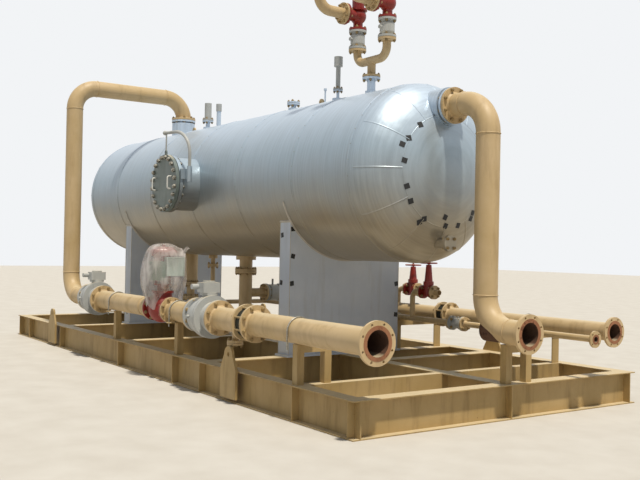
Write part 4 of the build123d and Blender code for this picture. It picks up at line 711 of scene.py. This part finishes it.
def lap(x):
    """A band round the barrel with a raised swage along its middle."""
    band = settle(primitive(
        bpy.ops.mesh.primitive_cylinder_add, vertices=128, radius=VESSEL_RADIUS + LAP_RISE,
        depth=LAP_WIDTH, end_fill_type="NOTHING", location=(x, 0, VESSEL_HEIGHT),
        rotation=(0, math.pi / 2, 0)))
    bpy.ops.object.mode_set(mode="EDIT")
    for aside in (-SWAGE_HALF, 0.0, SWAGE_HALF):
        cut((x + aside, 0, 0), (1, 0, 0))
    bpy.ops.mesh.select_mode(type="VERT")
    bpy.ops.mesh.select_all(action="DESELECT")
    shape = bmesh.from_edit_mesh(band.data)
    for vert in shape.verts:
        vert.select_set(abs(vert.co.x - x) < MM)
    bmesh.update_edit_mesh(band.data)
    widen = 1 + SWAGE_RISE / VESSEL_RADIUS
    bpy.ops.transform.resize(value=(1, widen, widen), center_override=(x, 0, VESSEL_HEIGHT))
    bpy.ops.mesh.select_all(action="SELECT")
    bpy.ops.mesh.normals_make_consistent(inside=False)
    bpy.ops.object.mode_set(mode="OBJECT")
    return thicken(band, LAP_RISE)


bands = [lap(x) for x in LAP_PLACES]
finish(join(bands, "cladding_laps"), cladding, ROOT, "cladding", 50.0)
print("Cladding laps", len(LAP_PLACES))

# %% Screws along the laps
SCREW_HEAD = 0.005
SCREW_FLATNESS = 0.6
SCREW_ASIDE = LAP_WIDTH * 0.3
SCREWS_ROUND = 36
screw = primitive(bpy.ops.mesh.primitive_uv_sphere_add, segments=8, ring_count=6,
                  radius=SCREW_HEAD)
bpy.ops.object.mode_set(mode="EDIT")
cut((0, 0, 0), (0, 0, 1), clear_inner=True, use_fill=True)
bpy.ops.mesh.select_all(action="SELECT")
bpy.ops.transform.resize(value=(1, 1, SCREW_FLATNESS))
bpy.ops.object.mode_set(mode="OBJECT")
reach = VESSEL_RADIUS + LAP_RISE
screws = []
for x in LAP_PLACES:
    for index in range(SCREWS_ROUND):
        angle = math.radians(360 / SCREWS_ROUND) * (index + 0.5)
        out = (0, math.cos(angle), math.sin(angle))
        centre = (x + SCREW_ASIDE, reach * out[1], VESSEL_HEIGHT + reach * out[2])
        screws.append(copy_of(screw, point_at(out, centre)))
bpy.data.objects.remove(screw)
finish(join(screws, "cladding_screws"), plated, ROOT, "cladding")

# %% [markdown]
# ## The cladding of the heads
# A dished head can't be covered by one sheet. Gores, tapered like the segments of an
# orange, run from the barrel to a round crown sheet, and the crown's edge is held by
# patches of black tape. Each seam is a thin strip laid on the dished surface: a plane with
# many cuts is added, then each of its points is moved onto the surface in code, because
# the surface has a formula and a strip bent by hand would not follow it.

# %% Seams and crown ring on the heads
HEAD_DEPTH = 0.4375
FRONT_SEAM_X = 3.147
REAR_SEAM_X = -3.52
CROWN_RADIUS = 0.53
CROWN_EDGE = 0.005
CROWN_FLATNESS = 0.5
GORES = 12
SEAM_WIDTH = 0.016
SEAM_FOOT = 0.0006
SEAM_RISE = 0.0035
SEAM_END = VESSEL_RADIUS * 0.995


def on_head(y, z, side, lift):
    """A point lifted off the dished surface, above a place given across the vessel."""
    up_z = z - VESSEL_HEIGHT
    rest = max(0.0, 1.0 - (y * y + up_z * up_z) / VESSEL_RADIUS ** 2)
    dish = HEAD_DEPTH * math.sqrt(rest)
    start = FRONT_SEAM_X if side > 0 else REAR_SEAM_X
    normal = Vector((side * dish / HEAD_DEPTH ** 2, y / VESSEL_RADIUS ** 2,
                     up_z / VESSEL_RADIUS ** 2)).normalized()
    return Vector((start + side * dish, y, z)) + normal * lift


def gore_seam(angle, side):
    """A standing strip along one gore's edge, from the crown to the barrel."""
    strip = primitive(bpy.ops.mesh.primitive_grid_add, x_subdivisions=18, y_subdivisions=4,
                      size=1.0)
    for vert in strip.data.vertices:
        run = vert.co.x + 0.5
        across = vert.co.y * SEAM_WIDTH
        bow = 1.0 - (vert.co.y * 2) ** 2
        radius = CROWN_RADIUS + (SEAM_END - CROWN_RADIUS) * math.sin(run * math.pi / 2)
        y = radius * math.cos(angle) - across * math.sin(angle)
        z = VESSEL_HEIGHT + radius * math.sin(angle) + across * math.cos(angle)
        vert.co = on_head(y, z, side, SEAM_FOOT + SEAM_RISE * bow)
    return strip


def crown_ring(side):
    """The crown sheet's rolled edge, a low ring on the dished surface."""
    ring = primitive(bpy.ops.mesh.primitive_torus_add, major_segments=96, minor_segments=8,
                     major_radius=CROWN_RADIUS, minor_radius=CROWN_EDGE)
    for vert in ring.data.vertices:
        radius = math.hypot(vert.co.x, vert.co.y)
        lift = max(0.0, vert.co.z) * CROWN_FLATNESS
        turned = math.atan2(vert.co.y, vert.co.x)
        vert.co = on_head(radius * math.cos(turned), VESSEL_HEIGHT + radius * math.sin(turned),
                          side, lift)
    return ring


for side, name in ((1, "head_seams_front"), (-1, "head_seams_rear")):
    strips = [gore_seam(math.radians(360 / GORES * index), side) for index in range(GORES)]
    strips.append(crown_ring(side))
    finish(join(strips, name), cladding, ROOT, "cladding", 60.0)

# %% Tape patches round the crown
TAPE_PLACES = (
    (-0.33, 2.606), (-0.463, 2.471), (-0.527, 2.411), (-0.515, 2.262), (-0.483, 2.028),
    (-0.43, 1.893), (-0.261, 1.735), (-0.302, 1.704), (-0.025, 1.758), (0.004, 1.678),
    (0.172, 1.688), (0.358, 1.815), (0.347, 1.76), (-0.132, 2.726),
)
TAPE_SIDE = 0.05
TAPE_THICKNESS = 0.0008
TAPE_TURN = 0.5
HEAD_TAPE_LIFT = 0.0034


def tape_patch(y, z, turn):
    """A square of tape pressed onto the head."""
    patch = primitive(bpy.ops.mesh.primitive_grid_add, x_subdivisions=4, y_subdivisions=4,
                      size=TAPE_SIDE)
    patch.data.transform(Matrix.Rotation(turn, 4, "Z"))
    for vert in patch.data.vertices:
        vert.co = on_head(y + vert.co.x, z + vert.co.y, 1, HEAD_TAPE_LIFT)
    return thicken(patch, TAPE_THICKNESS)


patches = [tape_patch(y, z, random.uniform(-TAPE_TURN, TAPE_TURN)) for y, z in TAPE_PLACES]
finish(join(patches, "tape_patches"), tape, ROOT, "cladding")
print("Tape patches", len(patches))

# %% [markdown]
# ## The bag over the actuator
# The control valve's actuator is wrapped for shipping in a bag of thin polyethylene film.
# It lies smooth on the diaphragm casing, is pushed out by the corner of the positioner, and
# hangs below in folds, open at the bottom, with its hem higher where the valve's flanges
# stand in its way. A grid is the start: one side of it runs round the bag, the other from
# the top down to the hem, and each point is then moved to its place by a formula.

# %% Measures of the bag
BAG_AXIS = Vector((0.805, -1.640, 0.0))
BAG_PROFILE = (
    # radius and height from the top of the dome to the hem, in metres
    (0.0, 1.466), (0.062, 1.462), (0.122, 1.443), (0.168, 1.408), (0.192, 1.365),
    (0.212, 1.310), (0.229, 1.245), (0.240, 1.180), (0.243, 1.110), (0.240, 1.040),
    (0.230, 0.975), (0.216, 0.915), (0.204, 0.860), (0.196, 0.800), (0.190, 0.745),
)
CORNERS = (
    # what pushes the film out: angle, reach, lowest and highest height
    (math.radians(-50.3), 0.2565, 1.055, 1.280),
    (math.radians(49.9), 0.2565, 1.090, 1.300),
)
CORNER_SLOPE = 0.45
CORNER_FADE = 0.12
VALLEY_ANGLE = math.radians(-33.0)
VALLEY_WIDTH = 0.13
VALLEY_DEPTH = 0.030
TUCK_TOP, TUCK_RUN, TUCK_DEPTH = 0.98, 0.22, 0.022
SKIRT_TOP = 1.02
HEM_HEIGHT = 0.775
HEM_WAVES = ((3, 0.035, 0.4), (7, 0.018, 0.0))
HEM_GAP = 0.006
HEM_RISE = 0.055
HEM_RISE_ANGLE = math.radians(8)
PIPE_AXIS_HEIGHT = 0.7496
PIPE_REACH = 0.150
FOLD_TOP, FOLD_RUN, FOLD_GROWTH = 1.43, 0.6, 1.1
FOLDS = (
    # count round the bag, depth, phase, climb
    (5, 0.011, 0.7, 1.5), (8, 0.009, 2.1, -3.0), (13, 0.006, 4.4, 4.0),
    (22, 0.0035, 1.2, 7.0),
)
CRUMPLE_DEPTH = 0.006
CRUMPLES_PER_METRE = 16.0


def along(points, share):
    """A point on a smooth curve through a list of points, at a share of its run."""
    step = share * (len(points) - 1)
    low = min(int(step), len(points) - 2)
    t = step - low
    a, b, c, d = (points[min(max(low + k, 0), len(points) - 1)] for k in (-1, 0, 1, 2))
    return [0.5 * (2 * q + (r - p) * t + (2 * p - 5 * q + 4 * r - s) * t * t
                   + (3 * q - p - 3 * r + s) * t ** 3) for p, q, r, s in zip(a, b, c, d)]


def hem_height(angle, radius):
    """How far down the film reaches on one side: over the flanges it ends higher."""
    aside = abs(radius * math.sin(angle))
    low = HEM_HEIGHT
    for count, rise, phase in HEM_WAVES:
        low += rise * math.sin(count * angle + phase)
    if aside < PIPE_REACH:
        over_pipe = math.sqrt(PIPE_REACH ** 2 - aside ** 2)
        low = max(low, PIPE_AXIS_HEIGHT + over_pipe + HEM_GAP)
    front = max(0.0, math.cos(angle - HEM_RISE_ANGLE)) ** 3
    return low + HEM_RISE * front


def apart(angle, other):
    """The signed angle between two directions, by the short way round."""
    return (angle - other + math.pi) % math.tau - math.pi


def film_point(turn, share):
    """Where one point of the film lies, from its angle round the bag and its run down it."""
    radius, height = along(BAG_PROFILE, share)
    if height < SKIRT_TOP:
        lowest = BAG_PROFILE[-1][1]
        stretch = (SKIRT_TOP - hem_height(turn, radius)) / (SKIRT_TOP - lowest)
        height = SKIRT_TOP - (SKIRT_TOP - height) * stretch
    drop = min(1.0, max(0.0, (FOLD_TOP - height) / FOLD_RUN))
    for count, depth, phase, climb in FOLDS:
        radius += depth * drop ** FOLD_GROWTH * math.sin(count * turn + phase + climb * height)
    around = Vector((math.cos(turn), math.sin(turn), 0.0))
    spot = BAG_AXIS + around * radius + Vector((0, 0, height))
    radius += CRUMPLE_DEPTH * noise.noise(spot * CRUMPLES_PER_METRE) * drop
    from_valley = apart(turn, VALLEY_ANGLE)
    radius -= VALLEY_DEPTH * drop * math.exp(-(from_valley / VALLEY_WIDTH) ** 2)
    low_left = max(0.0, -math.sin(turn)) * max(0.0, (TUCK_TOP - height) / TUCK_RUN)
    radius -= TUCK_DEPTH * min(1.0, low_left)
    for angle, corner_reach, low, high in CORNERS:
        over = max(low - height, height - high, 0.0)
        reach = corner_reach - CORNER_SLOPE * over
        pushed = over < CORNER_FADE and reach > radius
        flat = math.acos(min(1.0, radius / reach)) if pushed else 0.0
        aside = abs(apart(turn, angle))
        if aside < flat:
            radius = radius / math.cos(flat - aside)
    return BAG_AXIS + around * radius + Vector((0, 0, height))


print("Bag height", round(BAG_PROFILE[0][1] - BAG_PROFILE[-1][1], 3))

# %% The film
AROUND = 160
DOWN = 64
bag = primitive(bpy.ops.mesh.primitive_grid_add, x_subdivisions=AROUND, y_subdivisions=DOWN,
                size=1.0)
bag.name = "plastic_bag_film"
for vert in bag.data.vertices:
    turn = (vert.co.x + 0.5) * math.tau
    vert.co = film_point(turn, 0.5 - vert.co.y)
bpy.ops.object.mode_set(mode="EDIT")
bpy.ops.mesh.select_all(action="SELECT")
bpy.ops.mesh.remove_doubles(threshold=0.0004)
bpy.ops.mesh.normals_make_consistent(inside=False)
bpy.ops.object.mode_set(mode="OBJECT")
film_area = sum(face.area for face in bag.data.polygons)
print("Film area in square metres", round(film_area, 3))

# %% [markdown]
# A corner of the bag is twisted into a tuft that stands out below the casing.

# %% The twisted corner
TUFT_START = Vector((0.926, -1.466, 1.338))
TUFT_END = Vector((0.957, -1.421, 1.424))
TUFT_CUTS = 16
TUFT_WAIST, TUFT_ROOT, TUFT_TIP = 0.010, 0.030, 0.022
RUFFLES, RUFFLE_DEPTH = 5, 0.35
TUFT_SAG = 0.012
tuft = primitive(bpy.ops.mesh.primitive_cylinder_add, vertices=20, radius=1.0, depth=1.0,
                 end_fill_type="NOTHING")
bpy.ops.object.mode_set(mode="EDIT")
for level in range(1, TUFT_CUTS):
    cut((0, 0, level / TUFT_CUTS - 0.5), (0, 0, 1))
bpy.ops.object.mode_set(mode="OBJECT")
run = TUFT_END - TUFT_START
side = run.cross(Vector((0, 0, 1))).normalized()
above = side.cross(run).normalized()
for vert in tuft.data.vertices:
    share = vert.co.z + 0.5
    turn = math.atan2(vert.co.y, vert.co.x)
    waist = TUFT_WAIST + TUFT_ROOT * (1 - share) ** 3 + TUFT_TIP * share ** 2
    ruffle = waist * (1 + RUFFLE_DEPTH * math.sin(RUFFLES * turn + RUFFLES * share))
    sag = TUFT_SAG * math.sin(math.pi * share)
    vert.co = (TUFT_START + run * share + side * math.cos(turn) * ruffle
               + above * (math.sin(turn) * ruffle * (1 - 0.5 * share) + sag))
print("Tuft points", len(tuft.data.vertices))

# %% [markdown]
# Through the film one sees a second instrument box, beside the positioner and in front of
# the yoke. It is a cube whose lid is inset and raised, on a bracket at the yoke's leg.

# %% The box beside the yoke
BOX_LOW = (0.905, -1.675, 1.110)
BOX_HIGH = (0.965, -1.460, 1.318)
LID_RIM = 0.012
BRACKET_PLACE = (0.862, -1.562, 1.20)
BRACKET_SIZE = (0.088, 0.006, 0.10)
BRACKET_BEVEL = 0.001
case = settle(primitive(
    bpy.ops.mesh.primitive_cube_add, size=1.0,
    location=[(a + b) / 2 for a, b in zip(BOX_LOW, BOX_HIGH)],
    scale=[b - a for a, b in zip(BOX_LOW, BOX_HIGH)]))
bpy.ops.object.mode_set(mode="EDIT")
for lid in (lambda centre, normal: normal.x > END_FACING,
            lambda centre, normal: normal.y < -END_FACING):
    select_faces(case, lid)
    bpy.ops.mesh.inset(thickness=LID_RIM, depth=0)
    bpy.ops.mesh.extrude_region_shrink_fatten(
        TRANSFORM_OT_shrink_fatten={"value": -LID_RIM / 3})
bpy.ops.mesh.select_all(action="SELECT")
bpy.ops.mesh.bevel(offset=LID_RIM / 6, segments=2, affect="EDGES")
bpy.ops.object.mode_set(mode="OBJECT")
bracket = settle(primitive(bpy.ops.mesh.primitive_cube_add, size=1.0, location=BRACKET_PLACE,
                           scale=BRACKET_SIZE))
bpy.ops.object.mode_set(mode="EDIT")
bpy.ops.mesh.select_all(action="SELECT")
bpy.ops.mesh.bevel(offset=BRACKET_BEVEL, segments=1, affect="EDGES")
bpy.ops.object.mode_set(mode="OBJECT")
box = join([case, bracket], "actuator_instrument_box")
finish(box, paint_pale_box, ROOT, "instrument_paint")

# %% [markdown]
# Polyethylene lets about half the light straight through. Where it creases it turns milky,
# so the share that shows is a pattern too. Where it lies pressed on the instrument box it
# is clearer, which is a mask over its height and over its run to the side.

# %% Film material
BOX_SIDEWAYS = (0.57, 0.82, 0.0)
BOX_EDGE = 0.57 * BAG_AXIS[0] + 0.82 * BAG_AXIS[1] + 0.045
EDGE_FADE = 0.04
LEVEL_FADE = 0.02
CLEAR_SHARE = 0.45
CREASED = (11.0, 11.0, 3.5)
film, tree, shader, place = start_material("polyethylene_film")
stretched = add(tree, "ShaderNodeMapping", {"Vector": place, "Scale": CREASED})
creases = add(tree, "ShaderNodeTexNoise", {"Vector": stretched.outputs[0], "Scale": 1.0,
                                           "Detail": 3.0, "Roughness": 0.5, "Distortion": 0.6})
tinted = add(tree, "ShaderNodeValToRGB", {"Fac": creases.outputs["Fac"]},
             stops=((0.35, "#bdb6b0"), (0.65, "#e6e0dd")))
tree.links.new(tinted.outputs["Color"], shader.inputs["Base Color"])
milky = add(tree, "ShaderNodeMapRange", {"Value": creases.outputs["Fac"], "From Min": 0.36,
                                         "From Max": 0.68, "To Min": 0.34, "To Max": 0.56})
across = add(tree, "ShaderNodeVectorMath", {0: place, 1: BOX_SIDEWAYS}, operation="DOT_PRODUCT")
beside = add(tree, "ShaderNodeMapRange", {"Value": across.outputs["Value"],
                                          "From Min": BOX_EDGE - EDGE_FADE,
                                          "From Max": BOX_EDGE})
heights = add(tree, "ShaderNodeSeparateXYZ", {"Vector": place})
under_top = add(tree, "ShaderNodeMapRange", {"Value": heights.outputs["Z"],
                                             "From Min": BOX_HIGH[2],
                                             "From Max": BOX_HIGH[2] + LEVEL_FADE,
                                             "To Min": 1.0, "To Max": 0.0})
over_base = add(tree, "ShaderNodeMapRange", {"Value": heights.outputs["Z"],
                                             "From Min": BOX_LOW[2] - LEVEL_FADE,
                                             "From Max": BOX_LOW[2]})
level = add(tree, "ShaderNodeMath", {0: under_top.outputs[0], 1: over_base.outputs[0]},
            operation="MULTIPLY")
pressed = add(tree, "ShaderNodeMath", {0: beside.outputs[0], 1: level.outputs[0]},
              operation="MULTIPLY")
clear = add(tree, "ShaderNodeMapRange", {"Value": pressed.outputs[0], "To Min": 1.0,
                                         "To Max": CLEAR_SHARE})
shown = add(tree, "ShaderNodeMath", {0: milky.outputs[0], 1: clear.outputs[0]},
            operation="MULTIPLY")
tree.links.new(shown.outputs[0], shader.inputs["Alpha"])
shader.inputs["Roughness"].default_value = 0.2
shader.inputs["IOR"].default_value = 1.52
bump = add(tree, "ShaderNodeBump", {"Height": creases.outputs["Fac"], "Strength": 0.7,
                                    "Distance": 0.016})
tree.links.new(bump.outputs[0], shader.inputs["Normal"])

# %% [markdown]
# Film and tuft are one bag of thin film, draped over the actuator and held by nothing else.

# %% The bag as one draped sheet
finish(tuft, film, ROOT, "bag_film", 180.0)
tuft.name = "plastic_bag_tuft"
finish(bag, film, ROOT, "bag_film", 180.0)
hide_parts("plastic_bag")

# %% [markdown]
# ## Open pipe ends
# The four open flanges have stood without covers. Paint stops at the raised face, which has
# a film of rust, and the bore behind it is dark with rust as well. A ring starts as a circle
# whose edge is extruded and drawn in to the bore. The same circle, extruded along the pipe
# instead, makes the lining. Solidify then gives each of them its own thin wall.

# %% Rusted raised faces and bores
OPEN_X = 4.568
RUST_FILM = 0.0005
FACE_MARGIN = 0.001
LINING_DEPTH = 0.5
OPEN_ENDS = (
    # across, height, raised face radius, bore radius
    (-1.640, 0.74955, 0.1349, 0.10135), (0.0, 0.74955, 0.1349, 0.10135),
    (1.138, 0.72415, 0.1079, 0.07705), (0.869, 0.67015, 0.0460, 0.02625),
)


def rust_ring(across, height, outer, inner, depth):
    """A ring on the raised face, or a lining along the bore where a depth is given."""
    ring = primitive(bpy.ops.mesh.primitive_circle_add, vertices=72, radius=outer)
    bpy.ops.object.mode_set(mode="EDIT")
    bpy.ops.mesh.select_all(action="SELECT")
    bpy.ops.mesh.extrude_edges_move()
    if depth:
        bpy.ops.transform.translate(value=(0, 0, -depth))
    else:
        bpy.ops.transform.resize(value=(inner / outer, inner / outer, 1))
    bpy.ops.mesh.select_all(action="SELECT")
    bpy.ops.mesh.normals_make_consistent(inside=False)
    bpy.ops.object.mode_set(mode="OBJECT")
    thicken(ring, RUST_FILM, 0.0)
    ring.data.transform(point_at((1, 0, 0), (OPEN_X + RUST_FILM / 2, across, height)))
    return ring


faces = [rust_ring(y, z, outer - FACE_MARGIN, inner, 0) for y, z, outer, inner in OPEN_ENDS]
finish(join(faces, "rusted_raised_faces"), rusty, ROOT, "beige_paint")
linings = [rust_ring(y, z, inner - RUST_FILM, inner, LINING_DEPTH)
           for y, z, outer, inner in OPEN_ENDS]
finish(join(linings, "rusted_bores"), bore_rust, ROOT, "beige_paint")
print("Open ends", len(OPEN_ENDS))

# %% [markdown]
# ## Dressing of the saddles
# Each saddle is boxed in sheet. Where the box meets the vessel a bead of sealant runs along
# the joint, the sheet's corners are folded into a bright edge, and on the front saddle black
# patches of tape hold the edges down. The bead is a part of a torus, cut off above a level.

# %% Sealant beads and folded corners
SADDLE_PLACES = (1.850, -2.370)
SADDLE_HALF = 0.100
SADDLE_SIDE = 0.735
SADDLE_FOOT = 0.325
FOLD_GAP = 0.01
FOLD_RADIUS = 0.0035
BEAD = 0.012
BEAD_RISE = BEAD * 0.1
BEAD_RUN_UP = 0.20
MEETING = VESSEL_HEIGHT - math.sqrt(VESSEL_RADIUS ** 2 - SADDLE_SIDE ** 2)


def sealant_arc(x, top):
    """A bead round the underside of the barrel, up to a given height on both sides."""
    bead = settle(primitive(
        bpy.ops.mesh.primitive_torus_add, major_segments=192, minor_segments=10,
        major_radius=VESSEL_RADIUS + BEAD_RISE, minor_radius=BEAD,
        location=(x, 0, VESSEL_HEIGHT), rotation=(0, math.pi / 2, 0)))
    bpy.ops.object.mode_set(mode="EDIT")
    cut((0, 0, top), (0, 0, 1), clear_outer=True, use_fill=True)
    bpy.ops.object.mode_set(mode="OBJECT")
    return bead


def edge_rod(start, end, radius):
    """A thin rounded rod between two points, for a bead or a folded edge."""
    run = Vector(end) - Vector(start)
    rod = primitive(bpy.ops.mesh.primitive_cylinder_add, vertices=12, radius=radius,
                    depth=run.length)
    chamfer(rod, radius * 0.4, segments=2)
    rod.data.transform(point_at(run, (Vector(start) + Vector(end)) / 2))
    return rod


beads = []
folds = []
for x in SADDLE_PLACES:
    ends = (x - SADDLE_HALF, x + SADDLE_HALF)
    sides = (-SADDLE_SIDE, SADDLE_SIDE)
    for end in ends:
        beads.append(sealant_arc(end, MEETING + (BEAD_RUN_UP if end > x else 0.0)))
        folds += [edge_rod((end, side, SADDLE_FOOT + FOLD_GAP), (end, side, MEETING),
                           FOLD_RADIUS) for side in sides]
    beads += [edge_rod((ends[0], side, MEETING), (ends[1], side, MEETING), BEAD)
              for side in sides]
finish(join(beads, "saddle_sealant_beads"), sealant, ROOT, "saddle_sheet", 60.0)
finish(join(folds, "saddle_folded_corners"), sealant, ROOT, "saddle_sheet", 60.0)
print("Saddle beads", len(beads), "folds", len(folds))

# %% Tape on the front saddle
TAPE_LIFT = 0.0012
FRONT_TAPES = ((-0.705, 1.640, 0.1), (-0.700, 1.355, -0.2), (-0.708, 1.070, 0.15),
               (0.706, 1.057, 0.2), (0.706, 0.708, -0.1))
SIDE_TAPES = ((1.790, 1.575, 0.2), (1.785, 1.073, -0.15))


def saddle_tape(turn, spot, facing):
    """A square of tape with uneven edges, lying on a flat side of the saddle."""
    patch = primitive(bpy.ops.mesh.primitive_grid_add, x_subdivisions=6, y_subdivisions=6,
                      size=TAPE_SIDE)
    bpy.ops.object.mode_set(mode="EDIT")
    bpy.ops.mesh.select_all(action="SELECT")
    bpy.ops.transform.vertex_random(offset=0.0012, seed=int(spot.z * 100), normal=0.0)
    bpy.ops.object.mode_set(mode="OBJECT")
    thicken(patch, TAPE_THICKNESS)
    patch.data.transform(point_at(facing, spot) @ Matrix.Rotation(turn, 4, "Z"))
    return patch


front_x = SADDLE_PLACES[0] + SADDLE_HALF + TAPE_LIFT
patches = [saddle_tape(turn, Vector((front_x, y, z)), (1, 0, 0)) for y, z, turn in FRONT_TAPES]
patches += [saddle_tape(turn, Vector((x, -SADDLE_SIDE - TAPE_LIFT, z)), (0, -1, 0))
            for x, z, turn in SIDE_TAPES]
finish(join(patches, "saddle_tape_patches"), tape, ROOT, "saddle_sheet")
print("Saddle tapes", len(patches))
